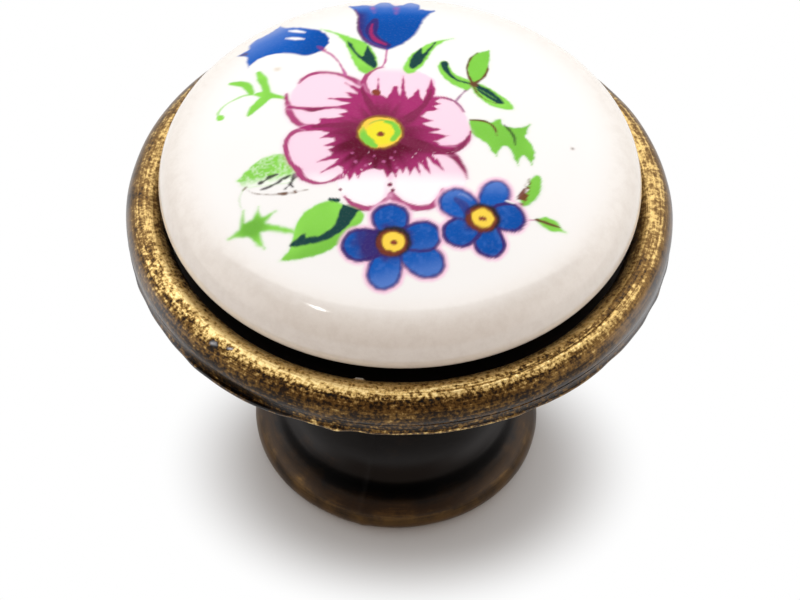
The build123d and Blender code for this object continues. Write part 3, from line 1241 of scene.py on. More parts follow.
    def rose_heart(self) -> None:
        """Ragged dark heart of the large flower, with darker rays and veins and with pale specks, which in its
        lower part are a painted reflection.
        """
        outline = np.array([
            (-2.45, 3.95), (-2.25, 3.3), (-1.8, 3.0), (-1.62, 3.1), (-1.5, 4.8), (-1.36, 3.05),
            (-0.9, 2.75), (-0.72, 3.2), (-0.5, 3.85), (-0.3, 3.85), (-0.2, 3.2), (-0.1, 2.95),
            (0.06, 4.85), (0.26, 3.0), (0.4, 2.65), (0.7, 3.0), (1.0, 3.7), (1.12, 3.5), (1.15, 2.9),
            (1.35, 2.6), (1.5, 3.2), (1.82, 4.7), (2.1, 3.6), (2.0, 2.9), (2.4, 2.85), (2.1, 2.5),
            (2.45, 2.3), (1.95, 2.05), (2.35, 1.8), (1.6, 1.5), (1.2, 1.1), (1.5, 0.9), (1.95, 0.75),
            (1.35, 0.45), (1.7, 0.2), (2.5, 0.02), (1.75, -0.3), (2.95, -0.48), (2.1, -1.0), (2.4, -1.35),
            (3.3, -1.45), (3.3, -2.0), (2.7, -2.1), (1.9, -2.15), (2.3, -2.6), (2.68, -3.4), (2.0, -2.8),
            (1.6, -2.4), (1.8, -3.65), (1.3, -3.0), (1.1, -2.85), (1.22, -3.8), (0.85, -3.15),
            (0.6, -3.8), (0.38, -3.2), (0.15, -3.65), (-0.05, -3.3), (-0.25, -4.0), (-0.5, -3.6),
            (-0.78, -4.05), (-1.05, -3.45), (-1.6, -3.35), (-2.0, -3.5), (-2.35, -3.65), (-2.52, -4.1),
            (-2.75, -3.7), (-3.05, -4.25), (-3.25, -3.8), (-3.55, -4.0), (-3.45, -3.2), (-3.8, -3.1),
            (-4.8, -3.6), (-4.0, -2.9), (-3.8, -2.55), (-5.1, -2.75), (-4.3, -2.25), (-4.1, -2.0),
            (-4.5, -1.75), (-4.1, -1.55), (-4.65, -1.4), (-4.0, -1.05), (-4.1, -0.75), (-4.9, -0.75),
            (-4.4, -0.3), (-4.9, -0.15), (-5.8, -0.05), (-6.3, 0.2), (-5.8, 0.4), (-5.0, 0.55),
            (-5.1, 1.0), (-4.2, 0.9), (-3.6, 1.05), (-3.9, 1.3), (-3.3, 1.45), (-3.6, 1.7), (-4.0, 2.0),
            (-3.3, 2.25), (-4.6, 2.75), (-3.2, 2.75), (-3.5, 3.3), (-2.75, 3.1), (-3.6, 4.2), (-2.6, 3.6),
        ])
        self.paint(self.area(outline, 0.25), Ink.PINK, 0.7)
        stain = self.area(outline, 0.07)
        self.paint(stain, Ink.ROSE)
        height = self.at(stain)[:, 1]
        x, y = (self.at(stain) - (-1.25, -0.35)).T
        reach = np.hypot(x, y)
        rays = 0.5 + 0.5 * lumps(np.degrees(np.arctan2(y, x)) / 6.0 + 30.0, reach * 0.4, 31, 60)
        low = ease(0.6, -1.3, height)
        self.paint(stain * ease(3.6, 1.5, reach + 1.2 * rays), Ink.WINE, 0.9)
        self.paint(stain * ease(2.9, 1.4, reach + 0.8 * rays), Ink.WINE, 0.6)
        self.paint(stain * (low * ease(4.6, 2.6, reach + 1.1 * rays)), Ink.PLUM)
        for points in (
            [(-2.55, 3.6, 0.14), (-2.3, 2.9, 0.34), (-1.95, 2.1, 0.5), (-1.6, 1.4, 0.6)],
            [(1.85, 3.6, 0.12), (1.65, 2.7, 0.3), (1.2, 1.8, 0.4), (0.5, 0.9, 0.7)],
            [(4.15, -0.4, 0.12), (3.8, -1.2, 0.3), (3.1, -1.75, 0.42), (1.8, -1.7, 0.6), (0.2, -1.0, 0.8)],
            [(3.0, -1.9, 0.4), (3.6, -2.7, 0.3), (3.95, -3.4, 0.1)],
            [(-5.4, 0.25, 0.2), (-4.4, 0.3, 0.4), (-3.4, 0.25, 0.5), (-2.7, 0.0, 0.5)],
            [(-6.0, 1.85, 0.1), (-5.5, 1.75, 0.34), (-4.9, 1.85, 0.1)],
        ):
            self.brush(points, Ink.WINE, 0.75)
        for x, y in (
            (-1.62, -2.35), (-2.7, -2.78), (-1.0, -2.8), (-0.35, -2.0), (-2.1, -3.1), (-0.2, -3.3),
            (-2.95, -2.1), (-0.6, -2.5),
        ):
            self.paint(self.area(oval((x, y), (0.09, 0.09)), 0.06), Ink.PETAL_LINE, 0.8)
        # Painted reflection: pale specks where the band of light on the glaze breaks over the heart's lower
        # part.
        reflection_specks = stain * ease(0.86, 0.96, self.mottle(stain, 0.15, 35))
        self.paint(reflection_specks * ease(-1.4, -2.6, height), Ink.BLUSH, 0.8)
        self.disc((-1.6, 3.25), 0.3, Ink.BROWN)
        for x, y, size in ((-0.62, -4.6, 0.16), (-0.42, -5.0, 0.12), (-3.58, -4.95, 0.12)):
            self.disc((x, y), size, Ink.WINE)

    def rose_eye(self) -> None:
        """Yellow eye of the large flower, with green crescents and a brown dot."""
        self.disc((-1.27, -0.34), 1.46, Ink.OCHRE, 0.12)
        eye = self.disc((-1.27, -0.36), 1.3, Ink.AMBER)
        self.disc((-1.2, -0.42), 1.05, Ink.YELLOW, 0.2)
        self.brush([
            (-0.95, 0.55, 0.24), (-0.45, 0.3, 0.36), (-0.2, -0.35, 0.42), (-0.5, -1.0, 0.3),
        ], Ink.LIME)
        self.brush([
            (-2.35, 0.1, 0.2), (-2.3, -0.6, 0.5), (-1.95, -1.15, 0.6), (-1.55, -1.5, 0.3),
        ], Ink.LIME)
        self.brush([
            (-2.0, 0.3, 0.1), (-1.6, 0.6, 0.14), (-1.1, 0.68, 0.14), (-0.6, 0.5, 0.1),
        ], Ink.MOSS, 0.8)
        self.shade(eye, (-1.3, 0.5), (-1.9, 1.1), Ink.AMBER)
        self.disc((-1.24, -0.54), 0.22, Ink.BROWN)

    def forget_me_not(
        self, eye: Sequence[float], petals: Sequence[Sequence[float]], pale: Sequence[float]
    ) -> None:
        """Small blue flower.

        Args:
            eye: its middle.
            petals: for each petal the x and y of its tip, its width, how deep its blue is and how far the
                dusk at its foot reaches.
            pale: direction towards which the petals pale.
        """
        shapes = [self.petal(eye, petal[:2], petal[2]) for petal in petals]
        for shape in shapes:
            self.paint(self.edge(shape, 0.56, 0.16), Ink.PINK, 0.9)
        for shape, (x, y, _, depth, dusk) in zip(shapes, petals):
            stain = self.area(shape)
            self.paint(stain, Ink.BLUE)
            self.paint(stain * (0.5 + 0.5 * self.mottle(stain, 0.5, 41)), Ink.DEEP_BLUE, depth)
            middle = (np.asarray(eye) + (x, y)) / 2
            self.shade(stain, middle, middle + pale, Ink.SKY, 0.8 - 0.7 * depth)
            inner = np.hypot(*(self.at(stain) - np.asarray(eye)).T) - dusk
            self.paint(stain * ease(0.5, 1.0, self.mottle(stain, 0.22, 43)), Ink.SKY, 0.25)
            inner = inner + 0.6 * self.mottle(stain, 0.4, 42)
            self.paint(stain * ease(1.9, 1.0, inner), Ink.INDIGO, 0.9)
            self.paint(self.edge(shape, 0.24, 0.06), Ink.INDIGO, 0.64 + 0.3 * depth)
        self.disc(eye, 1.06, Ink.SOOT, 0.12)
        self.disc((eye[0] - 0.08, eye[1] - 0.1), 0.92, Ink.RUST, 0.1)
        self.disc(eye, 0.74, Ink.OCHRE, 0.06)
        self.disc(eye, 0.66, Ink.GOLDEN, 0.06)
        self.paint(self.area(oval((eye[0] + 0.02, eye[1] - 0.08), (0.24, 0.16)), 0.06), Ink.BROWN)

    def petal(self, eye: Sequence[float], tip: Sequence[float], width: float) -> np.ndarray:
        """Outline of a petal that widens from the eye to a round tip.

        Args:
            eye: the flower's middle.
            tip: the petal's tip.
            width: its greatest width.

        Returns:
            The outline's points.
        """
        middle, reach = np.asarray(eye), np.subtract(tip, eye)
        side = np.array([-reach[1], reach[0]]) / np.hypot(*reach) * width / 2
        stops = ((0.0, 0.0), (0.2, 0.6), (0.38, 0.86), (0.6, 1.0), (0.8, 0.92), (0.95, 0.5))
        there = [middle + along * reach + out * side for along, out in stops]
        back = [middle + along * reach - out * side for along, out in stops[:0:-1]]
        return curve([*there, tip, *back], closed=True)

    def tulip(self) -> None:
        """Blue cup with a jagged top and a purple shadow on its left."""
        self.brush([
            (-1.0, 7.8, 0.16), (-1.05, 7.0, 0.13), (-1.1, 6.3, 0.13), (-1.3, 5.75, 0.16),
        ], Ink.PETAL_LINE)
        cup = [
            (-0.9, 7.65), (-1.6, 7.8), (-2.2, 8.2), (-2.65, 8.8), (-2.92, 9.8), (-3.0, 10.8),
            (-3.0, 11.8), (-3.5, 12.85), (-3.5, 12.85), (-2.5, 12.95), (-2.0, 12.85), (-1.6, 13.25),
            (-1.0, 13.25), (-0.6, 12.9), (-0.1, 13.0), (0.35, 13.3), (0.95, 13.15), (1.05, 12.5),
            (1.05, 12.5), (1.95, 12.35), (1.95, 12.35), (1.5, 11.6), (1.2, 10.7), (1.0, 10.0), (0.6, 9.1),
            (0.0, 8.3),
        ]
        stain = self.area(curve(cup, closed=True), 0.14)
        self.paint(stain, Ink.DEEP_BLUE)
        self.shade(stain, (-0.6, 10.2), (-0.8, 12.6), Ink.BLUE, 0.9)
        pale = stain * self.fade(stain, (-0.6, 11.6), (-0.6, 13.2))
        self.paint(pale * (0.5 + 0.5 * self.mottle(stain, 0.6, 51)), Ink.SKY)
        self.shade(stain, (-0.8, 12.5), (-0.8, 13.3), Ink.LILAC, 0.75)
        left = stain * self.fade(stain, (-2.0, 9.6), (-2.95, 9.6))
        self.paint(left * self.fade(stain, (-2.0, 12.6), (-2.0, 11.6)), Ink.INDIGO, 0.85)
        for points in (
            [(-2.05, 13.0, 0.3), (-1.95, 12.5, 0.36), (-1.9, 12.0, 0.1)],
            [(-0.5, 12.95, 0.36), (-0.45, 12.4, 0.34), (-0.5, 11.9, 0.1)],
        ):
            fleck = self.stroke(curve(points), 0.2)
            self.paint(fleck * self.mottle(fleck, 0.3, 52), Ink.PETAL_LINE, 0.7)
        self.brush([
            (-3.2, 12.4, 0.2), (-2.98, 11.6, 0.2), (-2.95, 10.4, 0.2), (-2.7, 9.2, 0.24),
            (-2.1, 8.3, 0.3), (-1.2, 7.8, 0.3),
        ], Ink.WINE, 0.5)
        self.brush([
            (-1.0, 8.1, 0.5), (-1.7, 8.7, 0.7), (-2.05, 9.5, 0.7), (-2.0, 10.3, 0.8), (-1.85, 11.1, 0.4),
        ], Ink.INDIGO, 0.85)
        self.brush([
            (-1.1, 8.2, 0.2), (-1.65, 8.6, 0.34), (-2.0, 9.2, 0.26), (-2.08, 9.9, 0.2),
            (-2.02, 10.6, 0.12),
        ], Ink.CRIMSON, 0.75)

    def bluebell(self) -> None:
        """Nodding bell with two white glints, on a thin bent stalk."""
        self.brush([
            (-5.1, 7.65, 0.2), (-4.6, 7.2, 0.13), (-4.15, 6.5, 0.12), (-3.85, 5.8, 0.14),
            (-3.6, 5.0, 0.24),
        ], Ink.PETAL_LINE)
        bell = [
            (-9.85, 6.45), (-9.85, 6.45), (-9.5, 7.0), (-9.0, 7.4), (-8.3, 7.65), (-7.6, 7.65),
            (-7.0, 7.5), (-6.3, 7.27), (-5.8, 7.35), (-5.3, 7.65), (-4.95, 8.1), (-4.8, 8.7),
            (-4.95, 9.4), (-5.35, 9.9), (-6.0, 10.3), (-7.0, 10.55), (-7.7, 10.6), (-8.1, 10.9),
            (-8.1, 10.9), (-8.5, 10.4), (-8.9, 9.95), (-9.6, 9.4), (-9.95, 8.9), (-10.0, 8.4),
            (-10.6, 7.85), (-10.6, 7.85), (-10.05, 7.6), (-10.05, 7.1),
        ]
        stain = self.shape(bell, Ink.BLUE)
        self.shade(stain, (-7.6, 9.0), (-5.6, 8.0), Ink.DEEP_BLUE)
        self.shade(stain, (-7.6, 8.2), (-9.0, 9.8), Ink.SKY, 0.85)
        self.shade(stain, (-7.6, 10.0), (-8.2, 10.8), Ink.LILAC, 0.6)
        self.brush([(-7.45, 10.2, 0.12), (-6.95, 10.1, 0.3), (-6.4, 9.9, 0.1)], Ink.WHITE, 0.95)
        self.brush([(-7.6, 9.35, 0.12), (-7.0, 9.25, 0.3), (-6.4, 9.1, 0.1)], Ink.WHITE, 0.95)
        self.brush([(-10.5, 7.85, 0.1), (-10.15, 7.95, 0.26)], Ink.UMBER, 0.6)
        self.brush([(-5.5, 8.15, 0.1), (-5.2, 7.9, 0.36), (-4.95, 7.75, 0.16)], Ink.CRIMSON, 0.45)

    def upper_leaves(self) -> None:
        """Two pointed leaves with dark cores beside the tulip."""
        self.leaf([
            (-5.25, 10.1), (-5.25, 10.1), (-4.2, 9.6), (-3.3, 9.0), (-2.5, 8.5), (-2.05, 7.9),
            (-1.8, 7.2), (-1.62, 6.4), (-1.65, 5.8), (-2.0, 5.35), (-2.45, 5.1), (-2.85, 5.7),
            (-3.2, 6.6), (-3.5, 7.6), (-3.8, 8.5), (-4.35, 9.4),
        ])
        self.shape([
            (-3.62, 8.6), (-3.3, 8.3), (-2.95, 7.4), (-2.6, 6.9), (-2.45, 7.3), (-2.3, 8.0), (-2.1, 7.7),
            (-1.8, 6.8), (-1.65, 6.1), (-1.85, 5.65), (-2.4, 6.25), (-2.9, 6.9), (-3.35, 7.7),
        ], Ink.PINE)
        self.leaf([
            (3.2, 9.1), (3.2, 9.1), (2.4, 8.85), (1.7, 8.4), (1.1, 7.8), (0.6, 7.2), (0.25, 6.4),
            (0.05, 5.7), (0.3, 5.15), (0.75, 5.3), (1.2, 5.9), (1.6, 6.8), (1.9, 7.6), (2.2, 8.2),
            (2.6, 8.65),
        ])
        self.shape([
            (2.15, 8.65), (1.85, 7.8), (1.5, 7.0), (1.1, 6.1), (0.7, 5.6), (0.42, 5.9), (0.55, 6.7),
            (0.9, 7.5), (1.2, 7.9), (1.3, 7.3), (1.6, 7.8),
        ], Ink.PINE)

    def right_sprig(self) -> None:
        """Three leaves on one knot, at the right of the large flower."""
        self.brush([(4.3, 4.1, 0.2), (3.75, 3.3, 0.13), (3.4, 2.65, 0.14)], Ink.MAUVE)
        self.leaf([
            (4.45, 4.3), (4.1, 3.8), (3.5, 4.0), (2.9, 4.5), (2.45, 5.2), (2.3, 5.9), (2.45, 6.5),
            (2.85, 6.5), (3.0, 6.1), (3.2, 5.5), (3.7, 5.0), (4.3, 4.7),
        ])
        self.brush([
            (2.7, 6.3, 0.5), (2.72, 5.9, 0.42), (2.95, 5.3, 0.3), (3.45, 4.7, 0.18), (4.3, 4.4, 0.14),
        ], Ink.PINE)
        self.leaf([
            (4.5, 4.5), (4.2, 5.2), (4.12, 6.0), (4.25, 6.8), (4.6, 7.5), (5.1, 7.85), (5.55, 8.0),
            (5.55, 8.0), (5.6, 7.2), (5.5, 6.3), (5.3, 5.4), (4.9, 4.8),
        ], Ink.LIME)
        self.brush([
            (4.85, 7.7, 0.06), (4.4, 7.1, 0.12), (4.13, 6.1, 0.14), (4.2, 5.2, 0.14), (4.5, 4.4, 0.24),
        ], Ink.UMBER)
        self.brush([(5.5, 6.4, 0.06), (5.35, 5.6, 0.14), (5.0, 4.9, 0.16), (4.5, 4.4, 0.24)], Ink.UMBER)
        self.leaf([
            (4.4, 4.2), (4.6, 3.5), (5.2, 2.75), (6.0, 2.3), (6.7, 2.2), (7.0, 2.45), (6.7, 3.0),
            (6.2, 3.5), (5.6, 4.0), (5.0, 4.4),
        ])
        self.shape([
            (4.6, 4.45), (5.2, 4.15), (5.8, 3.65), (6.3, 3.05), (6.4, 2.72), (5.9, 2.75), (5.3, 3.2),
            (4.8, 3.75),
        ], Ink.PINE)
        self.brush([(4.9, 3.9, 0.06), (5.4, 3.5, 0.12), (5.9, 3.1, 0.05)], Ink.LEAF, 0.35)
        self.brush([(4.5, 4.2, 0.16), (4.75, 3.5, 0.1), (5.3, 2.95, 0.08), (5.9, 2.7, 0.06)], Ink.UMBER)
        self.disc((4.52, 4.35), 0.26, Ink.UMBER, 0.14)

    def lobed_leaf(self) -> None:
        """Jagged leaf behind the large flower's right petal."""
        self.leaf([
            (4.25, 0.95), (5.0, 1.05), (5.6, 0.95), (5.9, 1.2), (6.2, 1.3), (6.3, 0.8), (6.8, 0.65),
            (7.4, 0.75), (7.95, 1.05), (7.95, 1.05), (7.8, 0.45), (7.65, 0.0), (8.0, -0.6), (8.2, -1.4),
            (8.0, -2.25), (8.0, -2.25), (7.7, -1.8), (7.5, -1.6), (7.3, -1.9), (7.15, -2.45),
            (7.15, -2.45), (6.95, -2.0), (6.8, -1.4), (6.5, -1.0), (6.1, -1.2), (5.85, -1.85),
            (5.85, -1.85), (5.55, -1.5), (5.3, -1.0), (4.9, -0.6), (4.35, -0.2), (4.2, 0.4),
        ], Ink.MOSS, Ink.LEAF)
        self.brush([
            (4.25, 1.0, 0.1), (5.0, 1.02, 0.14), (5.5, 0.8, 0.14), (5.8, 0.4, 0.14), (5.9, -0.15, 0.06),
        ], Ink.UMBER)
        self.brush([
            (6.35, 0.85, 0.08), (6.7, 0.4, 0.2), (6.95, -0.1, 0.2), (7.02, -0.8, 0.1),
        ], Ink.SOOT, 0.75)

    def small_leaves(self) -> None:
        """Two little leaves beside the right blue flower."""
        self.leaf([
            (8.0, -3.4), (8.25, -3.15), (8.5, -3.3), (8.52, -3.9), (8.35, -4.7), (7.9, -5.35),
            (7.35, -5.75), (7.35, -5.75), (7.3, -5.1), (7.6, -4.4), (7.8, -3.8),
        ], Ink.MOSS, Ink.LEAF)
        stain = self.stroke(curve([
            (7.9, -3.5, 0.16), (7.62, -4.3, 0.36), (7.38, -4.95, 0.6), (7.3, -5.5, 0.34),
        ]))
        self.paint(stain * ease(0.25, 0.5, self.mottle(stain, 0.22, 61)), Ink.RUST, 0.95)
        self.brush([(7.55, -4.55, 0.1), (7.68, -4.35, 0.14)], Ink.WHITE, 0.8)
        self.brush([(7.2, -6.7, 0.1), (7.7, -6.6, 0.07), (8.3, -6.5, 0.08)], Ink.PETAL_LINE)
        self.leaf([
            (8.2, -6.5), (8.2, -6.5), (8.7, -6.25), (9.3, -6.4), (9.85, -7.1), (9.85, -7.1), (9.1, -7.2),
            (8.5, -6.9),
        ])
        self.brush([(8.2, -6.5, 0.18), (8.9, -6.68, 0.2), (9.6, -6.85, 0.1)], Ink.UMBER)

    def left_sprig(self) -> None:
        """Curling sprig with three leaflets, at the left of the large flower."""
        self.brush([
            (-9.0, 3.6, 0.2), (-9.8, 3.65, 0.2), (-10.6, 3.3, 0.14), (-11.2, 2.8, 0.12),
            (-11.5, 2.2, 0.14), (-11.4, 1.85, 0.2),
        ], Ink.LEAF, 0.7)
        self.disc((-11.3, 1.75), 0.24, Ink.LEAF)
        for points in (
            [(-7.35, 3.05, 0.2), (-8.0, 3.3, 0.4), (-8.6, 3.5, 0.6), (-9.1, 3.65, 0.3)],
            [(-9.15, 5.75, 0.34), (-8.9, 5.1, 0.62), (-8.65, 4.3, 0.5), (-8.5, 3.5, 0.6)],
            [(-10.9, 4.95, 0.26), (-10.3, 4.85, 0.5), (-9.8, 4.5, 0.56), (-9.5, 3.8, 0.4)],
            [(-8.4, 3.4, 0.6), (-8.9, 2.75, 0.62), (-9.3, 2.2, 0.5), (-9.55, 1.7, 0.2)],
        ):
            self.paint(self.stroke(curve(points), 0.25), Ink.LEAF, 0.3)
            stain = self.brush(points, Ink.LEAF)
            self.paint(stain * self.mottle(stain, 0.6, 71), Ink.MOSS, 0.5)
        self.disc((-7.25, 3.0), 0.14, Ink.BROWN)

    def left_leaf(self) -> None:
        """Leaf behind the large flower, its lower half whitened by a painted reflection, with dark veins and a
        broken edge.
        """
        stain = self.leaf([
            (-9.85, -3.75), (-9.85, -3.75), (-9.2, -2.9), (-8.6, -2.3), (-7.8, -1.95), (-7.1, -2.0),
            (-6.6, -2.8), (-6.2, -3.7), (-6.6, -4.2), (-7.6, -4.3), (-8.6, -4.35), (-9.4, -4.3),
        ])
        # Painted reflection: a band of bright light on the glaze whitens the leaf's lower half, in patches.
        self.shade(stain, (-8.0, -3.45), (-7.9, -4.4), Ink.WHITE, 0.95)
        self.paint(stain * ease(0.2, 1.0, self.mottle(stain, 0.14, 81)), Ink.WHITE, 0.42)
        for points in (
            [(-8.55, -4.2, 0.1), (-8.42, -4.1, 0.28), (-8.15, -3.95, 0.12), (-7.9, -3.72, 0.28),
             (-7.6, -3.6, 0.2), (-7.42, -3.55, 0.1)],
            [(-8.35, -4.62, 0.12), (-8.0, -4.52, 0.2), (-7.6, -4.32, 0.12), (-7.3, -4.15, 0.18),
             (-7.1, -3.9, 0.14), (-6.9, -3.85, 0.24), (-6.65, -3.7, 0.1)],
            [(-6.9, -4.72, 0.16), (-6.72, -4.5, 0.1), (-6.6, -4.35, 0.24), (-6.45, -4.05, 0.12)],
            [(-6.6, -4.4, 0.1), (-6.45, -4.6, 0.16)],
            [(-6.5, -4.05, 0.2), (-6.35, -3.75, 0.44)],
        ):
            self.brush(points, Ink.SOOT, 0.9)
        edge = self.stroke(curve([
            (-9.4, -4.4, 0.08), (-8.8, -4.85, 0.08), (-8.0, -5.05, 0.1), (-7.0, -5.1, 0.16),
            (-6.2, -5.0, 0.12), (-5.5, -4.85, 0.05),
        ]))
        self.paint(edge * self.mottle(edge, 0.35, 82), Ink.UMBER, 0.85)
        for points in (
            [(-7.3, -5.05, 0.14), (-6.85, -5.07, 0.2)],
            [(-6.3, -4.9, 0.14), (-6.25, -5.05, 0.1)],
            [(-9.3, -4.35, 0.14), (-9.45, -4.55, 0.08)],
        ):
            self.brush(points, Ink.UMBER, 0.9)
        self.brush([(-9.45, -4.5, 0.1), (-9.65, -5.2, 0.1), (-9.5, -5.9, 0.06)], Ink.MOSS, 0.3)

    def star_leaf(self) -> None:
        """Five-pointed leaf on a stalk from the large leaf."""
        stain = self.leaf([
            (-9.35, -6.25), (-9.35, -6.25), (-9.2, -7.0), (-8.75, -6.8), (-8.45, -6.0), (-8.45, -6.0),
            (-8.2, -6.7), (-7.5, -6.4), (-7.5, -6.4), (-7.95, -7.15), (-7.2, -7.4), (-6.3, -7.75),
            (-6.3, -8.0), (-7.4, -7.75), (-8.15, -7.75), (-8.15, -8.2), (-7.95, -8.85), (-7.95, -8.85),
            (-8.4, -8.6), (-8.85, -8.1), (-9.4, -8.0), (-10.05, -8.05), (-10.05, -8.05), (-9.7, -7.65),
            (-9.45, -7.3),
        ], Ink.LEAF, Ink.MOSS, 0.16)
        middle = np.hypot(*(self.at(stain) - (-8.75, -7.4)).T)
        self.paint(stain * ease(1.3, 0.3, middle), Ink.FERN, 0.8)

    def large_leaf(self) -> None:
        """Broad leaf at the lower left with a dark rib."""
        stain = self.leaf([
            (-6.9, -9.8), (-6.9, -9.8), (-6.5, -9.2), (-6.3, -8.6), (-6.2, -7.9), (-5.9, -7.0),
            (-5.5, -6.4), (-4.9, -6.05), (-4.2, -5.8), (-3.6, -5.9), (-3.1, -6.2), (-2.5, -6.5),
            (-2.12, -6.8), (-2.3, -7.4), (-2.8, -7.9), (-3.2, -8.4), (-3.6, -8.9), (-4.4, -9.4),
            (-5.3, -9.7), (-6.2, -9.85),
        ])
        self.shade(stain, (-4.6, -7.8), (-4.0, -8.9), Ink.MOSS, 0.8)
        self.shape([
            (-6.45, -8.92), (-6.05, -8.4), (-5.55, -8.08), (-5.4, -8.35), (-4.6, -8.2), (-4.0, -7.75),
            (-3.7, -7.1), (-3.4, -6.0), (-3.4, -6.0), (-2.42, -6.52), (-2.42, -6.52), (-2.72, -7.15),
            (-3.3, -7.9), (-3.95, -8.42), (-4.9, -8.72), (-5.7, -8.88),
        ], Ink.PINE)
        self.brush([(-4.15, -5.65, 0.2), (-3.7, -5.75, 0.3)], Ink.PINE)

    def specks(self) -> None:
        """Brown specks of the firing, out on the white glaze."""
        for x, y, size, ink in (
            (10.6, -0.5, 0.08, Ink.UMBER), (-8.0, 6.0, 0.2, Ink.CREAM), (-7.4, 11.6, 0.1, Ink.CREAM),
        ):
            self.paint(self.area(oval((x, y), (size, size)), 0.12), ink, 0.8)

    def draw(self) -> np.ndarray:
        """Draws every motif, the ones behind first.

        Returns:
            The colour of each point of the canvas.
        """
        self.left_sprig()
        self.left_leaf()
        self.right_sprig()
        self.lobed_leaf()
        self.rose_petals()
        self.upper_leaves()
        self.tulip()
        self.bluebell()
        self.rose_heart()
        self.rose_eye()
        self.star_leaf()
        self.large_leaf()
        self.small_leaves()
        self.forget_me_not(
            (-0.33, -8.7),
            (
                (2.5, -10.65, 2.1, 0.15, -0.1),
                (-1.08, -11.88, 1.9, -0.15, 0.1),
                (-0.65, -6.08, 2.1, 0.5, -0.1),
                (2.42, -8.05, 2.0, 0.6, -0.1),
                (-3.3, -9.1, 2.1, 0.8, 1.0),
            ),
            (0.4, -1.2),
        )
        self.forget_me_not(
            (4.95, -6.75),
            (
                (6.15, -3.95, 1.65, -0.3, -0.3),
                (7.45, -6.4, 1.95, 0.9, -0.2),
                (5.55, -9.42, 1.75, 0.9, -0.3),
                (2.85, -8.55, 1.9, 0.8, 0.0),
                (2.55, -5.25, 2.1, -0.1, -0.2),
            ),
            (-0.2, 1.4),
        )
        self.brush([(3.35, -5.5, 0.3), (3.8, -5.9, 0.6), (4.0, -6.4, 0.4)], Ink.INDIGO, 0.6)
        self.brush([(6.4, -5.35, 0.1), (6.85, -5.48, 0.08)], Ink.WHITE, 0.8)
        # Painted reflection: a pale arc on the upper left petal of the right blue flower.
        self.brush([(3.5, -5.12, 0.05), (3.85, -5.15, 0.1), (4.3, -5.5, 0.05)], Ink.LILAC, 0.7)
        self.specks()
        return self.colour


@dataclass(frozen=True)
class PrintedGlaze:
    """Warm white porcelain under a clear glossy glaze, with the printed flower spray."""

    white: Colour = srgb(243, 242, 241)
    # Painted shade: the glaze turns warmer and darker towards the cap's edge, where the shoulder turns away
    # from the light.
    edge: Colour = srgb(237, 230, 222)
    cloud: Colour = srgb(196, 182, 168)
    cloud_share: float = 0.17
    cloud_start: float = 12.4
    cloud_full: float = 14.2
    cloud_scale: float = 1.3
    cloud_levels: tuple[float, float] = (0.36, 0.7)
    grain_share: float = 0.016
    grain_scale: float = 6.0
    grain_levels: tuple[float, float] = (0.45, 0.75)
    body_roughness: float = 0.4
    glaze_roughness: float = 0.085
    glaze_index: float = 1.6

    def material(self) -> bpy.types.Material:
        """Makes the finish.

        The mesh's colours hold the print with its painted reflections, and painted shade towards the edge,
        with a faint grain in the inks and faint clouds on the shoulder. The glaze lies over it as a coat that
        is thinner over the inks.

        Returns:
            The material.
        """
        material, graph = new_graph("printed_glaze")
        print_and_reflection = graph.node("ShaderNodeAttribute", {"attribute_name": "print"}).outputs["Color"]
        glaze = graph.attribute("glaze")
        place = graph.place()
        x, y, _ = graph.split(place)
        shoulder = ((x * x + y * y) ** 0.5).step(self.cloud_start, self.cloud_full)
        clouds = graph.noise(place, self.cloud_scale, 5.0, 0.7).step(*self.cloud_levels)
        grain = graph.noise(place, self.grain_scale, 2.0, 0.6).step(*self.grain_levels)
        inked = graph.mix(grain * (1.0 - glaze) * self.grain_share, print_and_reflection, self.white)
        graph.surface(
            {
                "Base Color": graph.mix(clouds * shoulder * self.cloud_share, inked, self.cloud),
                "Roughness": self.body_roughness,
                "Specular IOR Level": 0.0,
                "Coat Weight": glaze,
                "Coat Roughness": self.glaze_roughness,
                "Coat IOR": self.glaze_index,
            }
        )
        return material


def disc_grid(count: int) -> tuple[np.ndarray, np.ndarray]:
    """Square grid bent into a unit disc, so that its points are spread evenly.

    A point's radius is the larger of its two grid coordinates, and its angle grows evenly along the
    side of that square from corner to corner.

    Args:
        count: number of cells along a side.

    Returns:
        The x and y of the points, each with count + 1 rows and columns.
    """
    side = np.linspace(-1.0, 1.0, count + 1)
    across, up = np.meshgrid(side, side)
    wide = np.abs(across) >= np.abs(up)
    radius = np.where(wide, across, up)
    share = np.divide(np.where(wide, up, across), radius, out=np.zeros_like(radius), where=radius != 0.0)
    angle = np.where(wide, share * math.pi / 4, math.pi / 2 - share * math.pi / 4)
    return radius * np.cos(angle), radius * np.sin(angle)


